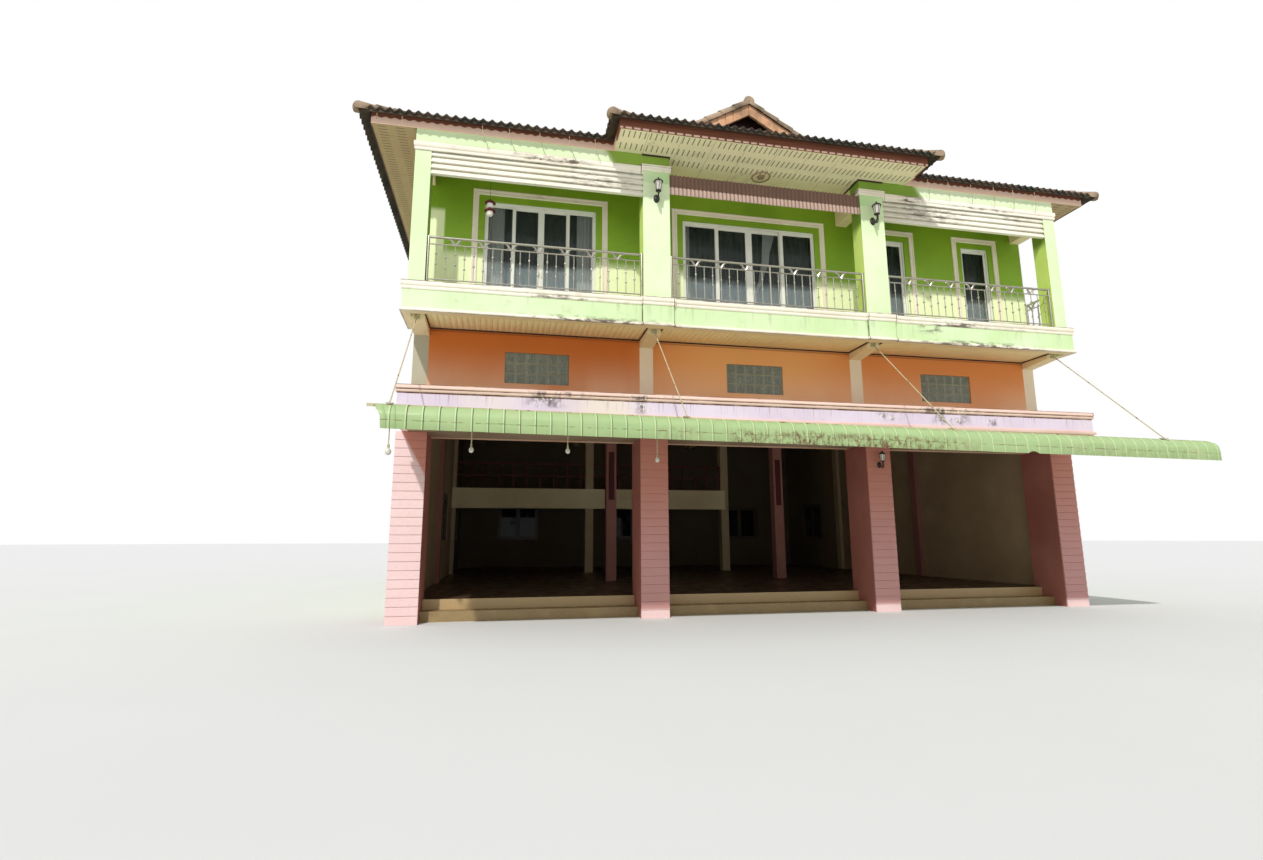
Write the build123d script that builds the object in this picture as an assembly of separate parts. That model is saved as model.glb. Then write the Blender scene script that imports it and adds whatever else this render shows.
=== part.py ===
from build123d import *
import os
from math import cos, radians, tan

# A two-storey, three-bay shop house, in millimetres.
# X runs along the front, Y runs from the street into the house and Z is up.
# The origin is at the ground, in the middle of the plan of the walls.

# Plan
middle_bay = 4278
outer_bay = 4009
body_depth = 12000
depth_bays = 3
wall = 150
column_width = 256
column_depth = 184

# Storey heights
floor_height = 330
pillar_clear_height = 2680
band_height = 1950
upper_floor_thickness = 140
upper_storey_height = 3050

# Ground storey
step_going = 280
step_height = 165
pillar_width = 483
pillar_projection = 569
inner_column_width = 240
pilaster_depth = 100
floor_beam_width = 220
floor_beam_depth = 300

# Glass block windows, each of six by three blocks
glass_block = 190
glass_block_columns = 6
glass_block_rows = 3
glass_block_depth = 80
glass_block_rise = 1005

# Canopy between the storeys
canopy_projection = 1190
canopy_end_margin = 150
canopy_thickness = 120
parapet_height = 624
parapet_thickness = 100
canopy_moulding_height = 124
canopy_moulding_projection = 34

# Awning below the canopy, which falls a little from left to right
awning_left_margin = 292
awning_right_margin = 922
awning_fall = 130
awning_root_rise = 225
awning_reach = 1580
awning_slope_drop = 220
awning_nose_drop = 338
awning_nose_radius = 200
awning_thickness = 4
purlin_size = 40
purlin_places = (60, 750, 1340)
arm_width = 40
arm_depth = 60
arm_reach = 1480
tie_rod_diameter = 18
tie_rod_reach = 1400
tie_plate = 90
tie_plate_thickness = 12

# Balcony
balcony_projection = 951
balcony_end_margin = 212
spandrel_thickness = 120
spandrel_rise = 310
spandrel_drop = 60
coping_height = 150
coping_cover = 10
coping_projection = 30
foot_moulding_height = 55
pedestal_width = 560
pedestal_projection = 40
balcony_beam_reach = 640
balcony_beam_root_depth = 160
balcony_beam_tip_depth = 100

# Balcony railings
railing_inset = 80
railing_height = 826
rail_size = 45
lower_rail_size = 25
second_rail_drop = 130
bottom_rail_gap = 60
post_size = 45
baluster_size = 16
baluster_pitch = 150
railing_clearance = 2

# Balcony pillars and beams, with their heights measured down from the eaves
corner_pillar_width = 261
corner_pillar_margin = 141
middle_pillar_width = 491
upper_pillar_depth = 313
pillar_setback = 34
cap_drop = 320
cap_height = 124
cap_projection = 40
beam_moulding_drop = 405
beam_moulding_height = 165
beam_moulding_projection = 30
upper_beam_depth = 370
upper_beam_thickness = 200
cross_beam_depth = 500
cross_beam_thickness = 240
sunshade_height = 440
sunshade_thickness = 70
blind_gap = 10
blind_height = 390
blind_thickness = 40
blind_setback = 10

# Balcony doors
door_height = 2349
left_door_shift = 18
left_door_width = 2057
middle_door_width = 2782
narrow_door_spacing = 2020
narrow_door_shift = -23
narrow_door_width = 656
frame_face = 50
frame_depth = 100
frame_setback = 25
leaf_stile = 70
leaf_depth = 40
glass_thickness = 8
surround_gap = 115
surround_width = 105
surround_projection = 25

# Windows of the side and back walls
window_width = 1400
window_height = 1200
window_sill_height = 950

# Roof
roof_pitch = 30.5
side_eaves = 759
front_eaves_margin = 22
porch_projection = 655
porch_margin = 786
soffit_thickness = 15
fascia_thickness = 20
fascia_drop = 10
tile_overhang = 150
roof_thickness = 46
eaves_lip_rise = 85
verge_distance = 1565
verge_depth = 300
verge_band_height = 240
verge_band_thickness = 40
gablet_wall_thickness = 100
ridge_tile_radius = 100
ridge_tile_sides = 12
ridge_tile_rise = 75
ridge_tile_end = 90

# Gallery at the back of the shop
gallery_lead = 150
gallery_floor_rise = 2270
gallery_floor_thickness = 120
gallery_beam_drop = 400
gallery_beam_rise = 180
gallery_beam_width = 200
balustrade_height = 770
balustrade_bar = 40
balustrade_pitch = 400

# Lamps, with the hanging bulbs placed from the left end column
lantern_rise = 2260
ground_lantern_drop = 370
lantern_plate = 110
lantern_plate_thickness = 12
lantern_arm = 90
lantern_arm_size = 24
lantern_diameter = 130
lantern_length = 210
bulb_drop = 515
bulb_diameter = 70
bulb_rod = 12
bulb_offsets = (-97, 1017, 2384, 3727)

# Places that follow from the sizes above
x_middle = middle_bay / 2
x_end = x_middle + outer_bay
x_side = x_end + column_width / 2
x_inside = x_side - wall
x_bay = (x_middle + x_end) / 2
front = -body_depth / 2
back = body_depth / 2
column_back = front + column_depth
column_spacing = body_depth / depth_bays
canopy_underside = floor_height + pillar_clear_height
upper_floor_underside = canopy_underside + band_height
upper_floor_top = upper_floor_underside + upper_floor_thickness
eaves_height = upper_floor_top + upper_storey_height
glass_block_sill = canopy_underside + glass_block_rise
awning_root_height = canopy_underside + awning_root_rise
balcony_front = front - balcony_projection
spandrel_back = balcony_front + spandrel_thickness
spandrel_bottom = upper_floor_underside - spandrel_drop
spandrel_top = upper_floor_top + spandrel_rise
balcony_x = x_end + balcony_end_margin
balcony_x_inside = balcony_x - spandrel_thickness
coping_top = spandrel_top + coping_cover
railing_top = coping_top + railing_height
railing_line = balcony_front + railing_inset
pillar_front = balcony_front + pillar_setback
pillar_back = pillar_front + upper_pillar_depth
corner_x_outer = x_end + corner_pillar_margin
corner_x_inner = corner_x_outer - corner_pillar_width
middle_x_outer = x_middle + middle_pillar_width / 2
middle_x_inner = x_middle - middle_pillar_width / 2
cap_bottom = eaves_height - cap_drop
beam_moulding_bottom = eaves_height - beam_moulding_drop
eaves_front = pillar_front - front_eaves_margin
eaves_back = back + side_eaves
eaves_x = x_side + side_eaves
porch_front = eaves_front - porch_projection
porch_x = x_middle + porch_margin
canopy_front = front - canopy_projection
canopy_x = x_end + canopy_end_margin
awning_x0 = -x_end - awning_left_margin
awning_length = 2 * x_end + awning_left_margin + awning_right_margin
awning_slope = awning_slope_drop / awning_reach
eaves_lip_height = eaves_height + eaves_lip_rise
slope = tan(radians(roof_pitch))
roof_thickness_upright = roof_thickness / cos(radians(roof_pitch))
sky = eaves_height + body_depth + 2 * x_side
gallery_floor_height = floor_height + gallery_floor_rise
gallery_beam_top = gallery_floor_height + gallery_beam_rise
front_window_centres = (-x_bay, 0, x_bay)


def block(x, y, z):
    """A plain block between two places along each axis."""
    centre = Pos((x[0] + x[1]) / 2, (y[0] + y[1]) / 2, (z[0] + z[1]) / 2)
    return centre * Box(x[1] - x[0], y[1] - y[0], z[1] - z[0])


def about(centre, width):
    """The two ends of a width about its centre."""
    return (centre - width / 2, centre + width / 2)


def both_sides(shape):
    """A shape and its mirror image on the other side of the middle line."""
    return [shape, mirror(shape, Plane.YZ)]


def prism_x(points, x):
    """A prism along X with an outline given as Y and Z."""
    outline = Wire.make_polygon([(x[0], y, z) for y, z in points])
    return Solid.extrude(Face(outline), (x[1] - x[0], 0, 0))


def prism_y(points, y):
    """A prism along Y with an outline given as X and Z."""
    outline = Wire.make_polygon([(x, y[0], z) for x, z in points])
    return Solid.extrude(Face(outline), (0, y[1] - y[0], 0))


def save(name, shapes):
    """Write one named piece, made of one solid or of several that stand apart."""
    shapes = shapes if isinstance(shapes, list) else [shapes]
    solids = [solid for shape in shapes for solid in shape.solids()]
    whole = solids[0] if len(solids) == 1 else Compound(children=solids)
    export_step(whole, f"parts/{name}.step")


# Ground storey

def ground_pillars(x):
    """A pair of pillars that carry the canopy and the columns above it."""
    pillar = block(about(x, pillar_width), (front - pillar_projection, column_back), (0, canopy_underside))
    return both_sides(pillar)


def floor_plinth():
    """The raised floor of the shop, cut round the feet of the pillars."""
    plinth = block((-x_side, x_side), (front, back), (0, floor_height))
    for x in (x_middle, x_end):
        for pillar in ground_pillars(x):
            plinth -= pillar
    return plinth


def front_steps():
    """One tread in front of the floor, between each two pillars."""
    half = pillar_width / 2
    left_bay = (-x_end + half, -x_middle - half)
    bays = [left_bay, (-x_middle + half, x_middle - half), (-left_bay[1], -left_bay[0])]
    return [block(bay, (front - step_going, front), (0, step_height)) for bay in bays]


def front_columns():
    """The four columns that stand on the pillars and carry the upper floor."""
    columns = []
    for x in (x_middle, x_end):
        heights = (canopy_underside, upper_floor_underside)
        columns += both_sides(block(about(x, column_width), (front, column_back), heights))
    return columns


def inner_column_rows():
    """Where the rows of inner columns stand, one between each two bays of the depth."""
    return [front + number * column_spacing for number in range(1, depth_bays)]


def inner_columns():
    """The free columns of the shop, which carry the floor beams, and the pilasters of its side walls."""
    columns = []
    for y in inner_column_rows():
        along = about(y, inner_column_width)
        beam_underside = upper_floor_underside - floor_beam_depth
        heights = (floor_height, beam_underside)
        columns += both_sides(block(about(x_middle, inner_column_width), along, heights))
        pilaster_x = (x_inside - pilaster_depth, x_inside)
        columns += both_sides(block(pilaster_x, along, (floor_height, upper_floor_underside)))
    return columns


def glass_block_size():
    """Width and height of a whole window of glass blocks."""
    return glass_block * glass_block_columns, glass_block * glass_block_rows


def glass_block_windows():
    """Three windows of glass blocks, flush with the inside of the wall's outer face."""
    width, height = glass_block_size()
    heights = (glass_block_sill, glass_block_sill + height)
    depth = (front + frame_setback, front + frame_setback + glass_block_depth)
    return [block(about(x, width), depth, heights) for x in front_window_centres]


def front_wall_band():
    """The wall over the shop's opening, between the columns, with its window holes."""
    width, height = glass_block_size()
    heights = (canopy_underside, upper_floor_underside)
    half = column_width / 2
    left_bay = (-x_end + half, -x_middle - half)
    ends = [left_bay, (-x_middle + half, x_middle - half), (-left_bay[1], -left_bay[0])]
    panels = []
    for end, centre in zip(ends, front_window_centres):
        panel = block(end, (front, front + wall), heights)
        opening = (glass_block_sill, glass_block_sill + height)
        panels.append(panel - block(about(centre, width), (front, front + wall), opening))
    return panels


# Canopy and awning

def band_round(projection_x, front_y, back_y, thickness, heights):
    """A band along the front and both ends, with its outer faces given."""
    outer = block((-projection_x, projection_x), (front_y, back_y), heights)
    inside_x = projection_x - thickness
    return outer - block((-inside_x, inside_x), (front_y + thickness, back_y), heights)


def canopy():
    """The slab over the pillars, its parapet and the parapet's raised top moulding."""
    slab_top = canopy_underside + canopy_thickness
    slab = block((-canopy_x, canopy_x), (canopy_front, front), (canopy_underside, slab_top))
    top = canopy_underside + parapet_height
    parapet = band_round(canopy_x, canopy_front, front, parapet_thickness, (canopy_underside, top))
    out = canopy_moulding_projection
    thickness = parapet_thickness + out
    heights = (top - canopy_moulding_height, top)
    moulding = band_round(canopy_x + out, canopy_front - out, front, thickness, heights)
    return slab + parapet + moulding


def awning_drop(x):
    """How far the awning has fallen at this place along the front."""
    return awning_fall * (x - awning_x0) / awning_length


def awning_prism(points, x, width):
    """A prism that follows the awning's fall, with an outline given as Y and Z at the awning's left end."""
    outline = Wire.make_polygon([(x, y, z - awning_drop(x)) for y, z in points])
    return Solid.extrude(Face(outline), (width, 0, awning_drop(x) - awning_drop(x + width)))


def on_awning(reach, above=0):
    """Y and Z of a point of the awning's upper face at a distance from its root."""
    return canopy_front - reach, awning_root_height - awning_slope * reach + above


def awning_strip(reaches, top, bottom):
    """An outline along the awning's slope, between two distances from its root."""
    near, far = reaches
    return [on_awning(near, top), on_awning(far, top), on_awning(far, bottom), on_awning(near, bottom)]


def awning_sheet():
    """The thin sheet, which slopes down from the parapet and curves down at its nose."""
    nose = canopy_front - awning_reach
    foot = awning_root_height - awning_slope_drop - awning_nose_drop
    outer = [on_awning(0), on_awning(awning_reach), (nose, foot)]
    inner_nose = on_awning(awning_reach - awning_thickness, -awning_thickness)
    inner = [on_awning(0, -awning_thickness), inner_nose, (nose + awning_thickness, foot)]
    outer_line = FilletPolyline(*[(0, y, z) for y, z in outer], radius=awning_nose_radius)
    inner_line = FilletPolyline(*[(0, y, z) for y, z in inner], radius=awning_nose_radius - awning_thickness)
    ends = [Line(outer_line @ 0, inner_line @ 0), Line(outer_line @ 1, inner_line @ 1)]
    profile = make_face([outer_line, inner_line] + ends).face()
    sheet = Solid.extrude(profile, (awning_length, 0, -awning_fall))
    return Pos(awning_x0, 0, 0) * sheet


def awning_frame():
    """Purlins along the sheet's underside and four arms that carry them from the parapet."""
    under = -awning_thickness
    frame = None
    for place in purlin_places:
        outline = awning_strip(about(place, purlin_size), under, under - purlin_size)
        purlin = awning_prism(outline, awning_x0, awning_length)
        frame = purlin if frame is None else frame + purlin
    arm_top = under - purlin_size / 2
    for x in (-x_end, -x_middle, x_middle, x_end):
        outline = awning_strip((0, arm_reach), arm_top, arm_top - arm_depth)
        frame += awning_prism(outline, x - arm_width / 2, arm_width)
    return frame


def tie_rods():
    """Four stays from the balcony beams down to the awning, each with a plate at both ends."""
    rods = []
    beam_tip = front - balcony_beam_reach
    plate_top = upper_floor_underside
    plate_middle = plate_top - tie_plate / 2
    for x in (-x_end, -x_middle, x_middle, x_end):
        across = about(x, tie_plate)
        plate_depth = (beam_tip - tie_plate_thickness, beam_tip)
        upper_plate = block(across, plate_depth, (plate_top - tie_plate, plate_top))
        outline = awning_strip(about(tie_rod_reach, tie_plate), tie_plate_thickness, 0)
        lower_plate = awning_prism(outline, x - tie_plate / 2, tie_plate)
        foot_y, foot_z = on_awning(tie_rod_reach, tie_plate_thickness)
        foot = Vector(x, foot_y, foot_z - awning_drop(x))
        head = Vector(x, beam_tip - tie_plate_thickness, plate_middle)
        line = head - foot
        rod = Solid.make_cylinder(tie_rod_diameter / 2, line.length, Plane(origin=foot, z_dir=line))
        rods.append(upper_plate + rod + lower_plate)
    return rods


# Upper floor and balcony

def upper_floor():
    """The slab between the walls, which runs on as the balcony."""
    heights = (upper_floor_underside, upper_floor_top)
    room = block((-x_inside, x_inside), (front, back - wall), heights)
    edge = block((-x_side, x_side), (front, column_back), heights)
    balcony = block((-balcony_x_inside, balcony_x_inside), (spandrel_back, front), heights)
    return room + edge + balcony


def upper_floor_beams():
    """Two beams that run from front to back over the inner columns."""
    heights = (upper_floor_underside - floor_beam_depth, upper_floor_underside)
    return both_sides(block(about(x_middle, floor_beam_width), (column_back, back - wall), heights))


def balcony_beams():
    """Four tapered beams that carry the balcony from the columns."""
    beams = []
    root = upper_floor_underside - balcony_beam_root_depth
    tip = upper_floor_underside - balcony_beam_tip_depth
    tip_y = front - balcony_beam_reach
    outline = [(front, root), (tip_y, tip), (tip_y, upper_floor_underside), (front, upper_floor_underside)]
    for x in (x_middle, x_end):
        beams += both_sides(prism_x(outline, about(x, column_width)) - balcony_spandrel())
    return beams


def pedestals(out, heights):
    """Raised fields of the balcony's front below the middle pillars."""
    reach = (balcony_front - pedestal_projection - out, balcony_front)
    return both_sides(block(about(x_middle, pedestal_width + 2 * out), reach, heights))


def balcony_spandrel():
    """The low wall along the balcony's front and ends."""
    heights = (spandrel_bottom, spandrel_top)
    spandrel = band_round(balcony_x, balcony_front, front, spandrel_thickness, heights)
    for pedestal in pedestals(0, heights):
        spandrel += pedestal
    return spandrel


def moulding_round(heights):
    """A moulding that stands out from the spandrel, round its pedestals too."""
    out = coping_projection
    outer = block((-balcony_x - out, balcony_x + out), (balcony_front - out, front), heights)
    for pedestal in pedestals(out, heights):
        outer += pedestal
    return outer


def balcony_mouldings():
    """The coping with its raised band, and the moulding at the spandrel's foot."""
    heights = (spandrel_bottom, coping_top)
    inside = block((-balcony_x_inside, balcony_x_inside), (spandrel_back, front), heights)
    coping = moulding_round((coping_top - coping_height, coping_top)) - balcony_spandrel() - inside
    foot_heights = (spandrel_bottom, spandrel_bottom + foot_moulding_height)
    foot = moulding_round(foot_heights) - balcony_spandrel() - inside
    return [coping, foot]


def railing(start, end):
    """A flat railing between two points, with posts at its ends, three rails and even balusters."""
    length = (end - start).length
    half = length / 2
    base = coping_top
    rail = block((-half, half), about(0, rail_size), (railing_top - rail_size, railing_top))
    for top in (railing_top - second_rail_drop, base + bottom_rail_gap + lower_rail_size):
        rail += block((-half, half), about(0, lower_rail_size), (top - lower_rail_size, top))
    for x in (-half + post_size / 2, half - post_size / 2):
        rail += block(about(x, post_size), about(0, post_size), (base, railing_top))
    count = round(length / baluster_pitch)
    for number in range(1, count):
        x = -half + length * number / count
        low = base + bottom_rail_gap
        high = railing_top - second_rail_drop
        rail += block(about(x, baluster_size), about(0, baluster_size), (low, high))
    turn = 0 if abs(end.X - start.X) > abs(end.Y - start.Y) else 90
    middle = (start + end) / 2
    return Pos(middle.X, middle.Y, 0) * Rot(0, 0, turn) * rail


def front_railings():
    """The three railings of the balcony's front, each between the faces of two pillars."""
    railings = []
    left_bay = (-corner_x_inner, -middle_x_outer)
    for x0, x1 in (left_bay, (-middle_x_inner, middle_x_inner), (-left_bay[1], -left_bay[0])):
        start = Vector(x0 + railing_clearance, railing_line)
        railings.append(railing(start, Vector(x1 - railing_clearance, railing_line)))
    return railings


def side_railings():
    """The short railings of the balcony's two ends."""
    x = balcony_x - railing_inset
    start = Vector(x, pillar_back + railing_clearance)
    return both_sides(railing(start, Vector(x, front - railing_clearance)))


def upper_pillar(x):
    """A pillar that stands on the coping and behind the spandrel."""
    top_part = block(x, (pillar_front, pillar_back), (coping_top, eaves_height))
    foot_x = (x[0], min(x[1], balcony_x_inside))
    foot = block(foot_x, (spandrel_back, pillar_back), (upper_floor_top, coping_top))
    return top_part + foot


def upper_pillars():
    """The two corner pillars and the two broad middle pillars."""
    corner = upper_pillar((corner_x_inner, corner_x_outer))
    middle = upper_pillar((middle_x_inner, middle_x_outer))
    return both_sides(corner) + both_sides(middle)


def pillar_caps():
    """Caps of the middle pillars, and lower mouldings along the outer beams and round the corner pillars."""
    heights = (cap_bottom, cap_bottom + cap_height)
    low = middle_x_inner - cap_projection
    high = middle_x_outer + cap_projection
    cap = block((low, high), (pillar_front - cap_projection, pillar_front), heights)
    cap += block((low, middle_x_inner), (pillar_front, pillar_back), heights)
    heights = (beam_moulding_bottom, beam_moulding_bottom + beam_moulding_height)
    end = corner_x_outer + beam_moulding_projection
    face = pillar_front - beam_moulding_projection
    cap += block((middle_x_outer, end), (face, pillar_front), heights)
    cap += block((corner_x_outer, end), (pillar_front, front), heights)
    return both_sides(cap)


def upper_beams():
    """Beams between the pillars of the outer bays."""
    heights = (eaves_height - upper_beam_depth, eaves_height)
    reach = (pillar_front, pillar_front + upper_beam_thickness)
    return both_sides(block((middle_x_outer, corner_x_inner), reach, heights))


def cross_beams():
    """Beams from the four pillars to the wall."""
    heights = (eaves_height - cross_beam_depth, eaves_height)
    reach = (pillar_back, front)
    corner = block((corner_x_outer - cross_beam_thickness, corner_x_outer), reach, heights)
    middle = block((middle_x_inner, middle_x_inner + cross_beam_thickness), reach, heights)
    return both_sides(corner) + both_sides(middle)


def sunshades():
    """The ribbed shades that hang below the beams of the outer bays, flush with their faces."""
    reach = (pillar_front, pillar_front + sunshade_thickness)
    top = eaves_height - upper_beam_depth
    return both_sides(block((middle_x_outer, corner_x_inner), reach, (top - sunshade_height, top)))


def centre_blind():
    """The blind between the middle pillars, near their front faces and just below their caps."""
    reach = (pillar_front + blind_setback, pillar_front + blind_setback + blind_thickness)
    top = cap_bottom - blind_gap
    return block((-middle_x_inner, middle_x_inner), reach, (top - blind_height, top))


# Walls of the upper storey and the sides

def door_holes():
    """Centre and width of each balcony door, from left to right."""
    narrow_middle = x_bay + narrow_door_shift
    narrow = [(centre, narrow_door_width) for centre in about(narrow_middle, narrow_door_spacing)]
    return [(left_door_shift - x_bay, left_door_width), (0, middle_door_width)] + narrow


def upper_front_wall():
    """The wall behind the balcony, with its four door holes."""
    panel = block((-x_side, x_side), (front, front + wall), (upper_floor_top, eaves_height))
    for centre, width in door_holes():
        heights = (upper_floor_top, upper_floor_top + door_height)
        panel -= block(about(centre, width), (front, front + wall), heights)
    return panel


def door_surrounds():
    """Raised bands on the wall round each balcony door."""
    surrounds = []
    for centre, width in door_holes():
        inner_width = width + 2 * surround_gap
        inner_top = upper_floor_top + door_height + surround_gap
        reach = (front - surround_projection, front)
        outer_top = inner_top + surround_width
        outer = block(about(centre, inner_width + 2 * surround_width), reach, (upper_floor_top, outer_top))
        surrounds.append(outer - block(about(centre, inner_width), reach, (upper_floor_top, inner_top)))
    return surrounds


def framed_leaves(width, height, leaves):
    """A frame with its leaves and their panes, about the middle of its foot, facing -Y."""
    frame = block(about(0, width), (0, frame_depth), (0, height))
    clear = width - 2 * frame_face
    leaf_width = clear / leaves
    panes = []
    frame -= block(about(0, clear), (0, frame_depth), (frame_face, height - frame_face))
    back_off = (frame_depth - leaf_depth) / 2
    pane_off = (frame_depth - glass_thickness) / 2
    for number in range(leaves):
        x0 = -clear / 2 + number * leaf_width
        leaf_y = (back_off, back_off + leaf_depth)
        leaf = block((x0, x0 + leaf_width), leaf_y, (frame_face, height - frame_face))
        pane_x = (x0 + leaf_stile, x0 + leaf_width - leaf_stile)
        pane_z = (frame_face + leaf_stile, height - frame_face - leaf_stile)
        leaf -= block(pane_x, (back_off, back_off + leaf_depth), pane_z)
        frame += leaf
        panes.append(block(pane_x, (pane_off, pane_off + glass_thickness), pane_z))
    return frame, panes


def balcony_door(centre, width, leaves):
    """A balcony door and its panes, in its hole."""
    frame, panes = framed_leaves(width, door_height, leaves)
    place = Pos(centre, front + frame_setback, upper_floor_top)
    return place * frame, [place * pane for pane in panes]


def storey_sills():
    """The height of the window sills of both storeys."""
    return floor_height + window_sill_height, upper_floor_top + window_sill_height


def side_window_places():
    """Where the windows of a side wall stand along Y, one in each bay behind the first."""
    return [y + column_spacing / 2 for y in inner_column_rows()]


def back_window_places():
    """Where the windows of the back wall stand along X."""
    return front_window_centres


def side_wall():
    """The right side wall with its window holes."""
    panel = block((x_inside, x_side), (column_back, back), (floor_height, upper_floor_top))
    panel += block((x_inside, x_side), (front + wall, back), (upper_floor_top, eaves_height))
    for y in side_window_places():
        for sill in storey_sills():
            panel -= block((x_inside, x_side), about(y, window_width), (sill, sill + window_height))
    return panel


def back_wall():
    """The back wall between the side walls, with its window holes."""
    panel = block((-x_inside, x_inside), (back - wall, back), (floor_height, eaves_height))
    for x in back_window_places():
        for sill in storey_sills():
            panel -= block(about(x, window_width), (back - wall, back), (sill, sill + window_height))
    return panel


def windows():
    """Frames and panes of the windows in the side and back walls."""
    frames = []
    glass = []
    frame, panes = framed_leaves(window_width, window_height, 2)
    for sill in storey_sills():
        places = [Pos(x, back - frame_setback, sill) * Rot(0, 0, 180) for x in back_window_places()]
        for y in side_window_places():
            places.append(Pos(x_side - frame_setback, y, sill) * Rot(0, 0, 90))
            places.append(Pos(-x_side + frame_setback, y, sill) * Rot(0, 0, -90))
        for place in places:
            frames.append(place * frame)
            glass += [place * pane for pane in panes]
    return frames, glass


# Roof

def eaves_outline(inset, heights):
    """The plan of the eaves with the porch before them, drawn in by an inset."""
    main = block((inset - eaves_x, eaves_x - inset), (eaves_front + inset, eaves_back - inset), heights)
    return main + block((inset - porch_x, porch_x - inset), (porch_front + inset, front), heights)


def eaves_soffit():
    """The board that closes the eaves and is the upper storey's ceiling."""
    return eaves_outline(fascia_thickness, (eaves_height, eaves_height + soffit_thickness))


def slopes_outline(low, high, lip):
    """The section of two equal slopes between two edges, with upright lips of a height."""
    base = eaves_lip_height
    middle = ((low + high) / 2, base + lip + (high - low) / 2 * slope)
    if lip == 0:
        return [(low, base), middle, (high, base)]
    return [(low, base), (low, base + lip), middle, (high, base + lip), (high, base)]


def roof_edges():
    """Half the length of the main roof between its tiles' edges, and its front and back edges."""
    return eaves_x + tile_overhang, eaves_front - tile_overhang, eaves_back + tile_overhang


def main_roof_body(lip):
    """The main hipped roof as a full body with an upright lip, or the attic below it without one."""
    edge_x, edge_front, edge_back = roof_edges()
    across = prism_y(slopes_outline(-edge_x, edge_x, lip), (edge_front, edge_back))
    along = prism_x(slopes_outline(edge_front, edge_back, lip), (-edge_x, edge_x))
    return across & along


def main_roof():
    """The main hipped roof as a shell."""
    return main_roof_body(roof_thickness_upright) - main_roof_body(0)


def porch_places():
    """Half width, front edge, verge and gablet wall of the porch roof."""
    half = porch_x + tile_overhang
    edge = porch_front - tile_overhang
    verge = edge + verge_distance
    return half, edge, verge, verge + verge_depth


def porch_slopes(lip):
    """The two side slopes of the porch roof as a full body, run back into the main roof."""
    half, edge = porch_places()[:2]
    return prism_y(slopes_outline(-half, half, lip), (edge, 0))


def hip_height(y):
    """The height of the upper face of the porch roof's hip, at a distance into the house."""
    return eaves_lip_height + roof_thickness_upright + (y - porch_places()[1]) * slope


def over_hip(y0, y1):
    """The space over the hip's upper face between two distances into the house."""
    half = porch_places()[0]
    return prism_x([(y0, hip_height(y0)), (y1, hip_height(y1)), (y1, sky), (y0, sky)], (-half, half))


def porch_body():
    """The porch roof as a full body, open before its verge."""
    half, edge, verge = porch_places()[:3]
    base = eaves_lip_height
    outline = [(edge, base), (edge, hip_height(edge)), (verge, hip_height(verge))]
    outline += [(verge, sky), (0, sky), (0, base)]
    return porch_slopes(roof_thickness_upright) & prism_x(outline, (-half, half))


def porch_roof():
    """The porch roof: two slopes, a hip below the gablet and a deep verge over it."""
    half, edge, verge, gablet = porch_places()
    inner = gablet + gablet_wall_thickness
    base = eaves_lip_height
    under = hip_height(inner) - roof_thickness_upright
    attic = prism_x([(edge, base), (inner, under), (inner, sky), (0, sky), (0, base)], (-half, half))
    roof = porch_body() - (porch_slopes(0) & attic) - (porch_slopes(0) & over_hip(verge, inner))
    return roof - main_roof_body(roof_thickness_upright)


def gablet_wall():
    """The small wall below the porch roof's ridge, set back behind the verge."""
    gablet = porch_places()[3]
    return porch_slopes(0) & over_hip(gablet, gablet + gablet_wall_thickness)


def verge_band():
    """The band of verge tiles below the slopes' front edges, down to the hip."""
    verge = porch_places()[2]
    depth = Pos(0, 0, -verge_band_height)
    return (porch_slopes(0) & over_hip(verge, verge + verge_band_thickness)) - depth * porch_slopes(0)


def ridge_line(start, end):
    """A bar of many narrow sides along the top of a ridge or hip, run on past its lower end."""
    line = end - start
    foot = start - line.normalized() * ridge_tile_end
    across = Vector(line.Y, -line.X, 0)
    place = Plane(origin=foot, x_dir=across, z_dir=line)
    section = place * RegularPolygon(ridge_tile_radius, ridge_tile_sides)
    return extrude(section, line.length + ridge_tile_end)


def below_tiles():
    """The space that the eaves' boards fill below the roofs' edges."""
    edge_x, edge_front, edge_back = roof_edges()
    half, edge = porch_places()[:2]
    heights = (eaves_height, eaves_lip_height)
    boards = block((-edge_x, edge_x), (edge_front, edge_back), heights)
    return boards + block((-half, half), (edge, front), heights)


def main_ridge_tiles():
    """The half-round tiles along the hips and the short ridge of the main roof."""
    edge_x, edge_front, edge_back = roof_edges()
    rise = min(edge_x, (edge_back - edge_front) / 2)
    low = eaves_lip_height + roof_thickness_upright + ridge_tile_rise - ridge_tile_radius
    high = low + rise * slope
    front_peak = Vector(edge_x - rise, edge_front + rise, high)
    back_peak = Vector(edge_x - rise, edge_back - rise, high)
    tiles = ridge_line(Vector(edge_x, edge_front, low), front_peak)
    tiles += ridge_line(Vector(edge_x, edge_back, low), back_peak)
    tiles += mirror(tiles, Plane.YZ)
    tiles += ridge_line(Vector(-front_peak.X, front_peak.Y, high), back_peak)
    return tiles - main_roof_body(roof_thickness_upright) - below_tiles()


def porch_ridge_tiles():
    """The half-round tiles along the porch roof's two hips and its ridge."""
    half, edge, verge = porch_places()[:3]
    low = eaves_lip_height + roof_thickness_upright + ridge_tile_rise - ridge_tile_radius
    high = low + half * slope
    corner = Vector(half, edge, low)
    hip = ridge_line(corner, corner + Vector(-1, 1, slope) * verge_distance) - porch_body() - below_tiles()
    end = roof_edges()[1] + half
    ridge = ridge_line(Vector(0, verge, high), Vector(0, end, high))
    return both_sides(hip) + [ridge - porch_body() - main_roof_body(roof_thickness_upright)]


def fascia_boards():
    """The boards along the eaves, up to the underside of the tiles."""
    heights = (eaves_height - fascia_drop, eaves_lip_height + tile_overhang * slope)
    return eaves_outline(0, heights) - eaves_outline(fascia_thickness, heights) - main_roof()


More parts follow.
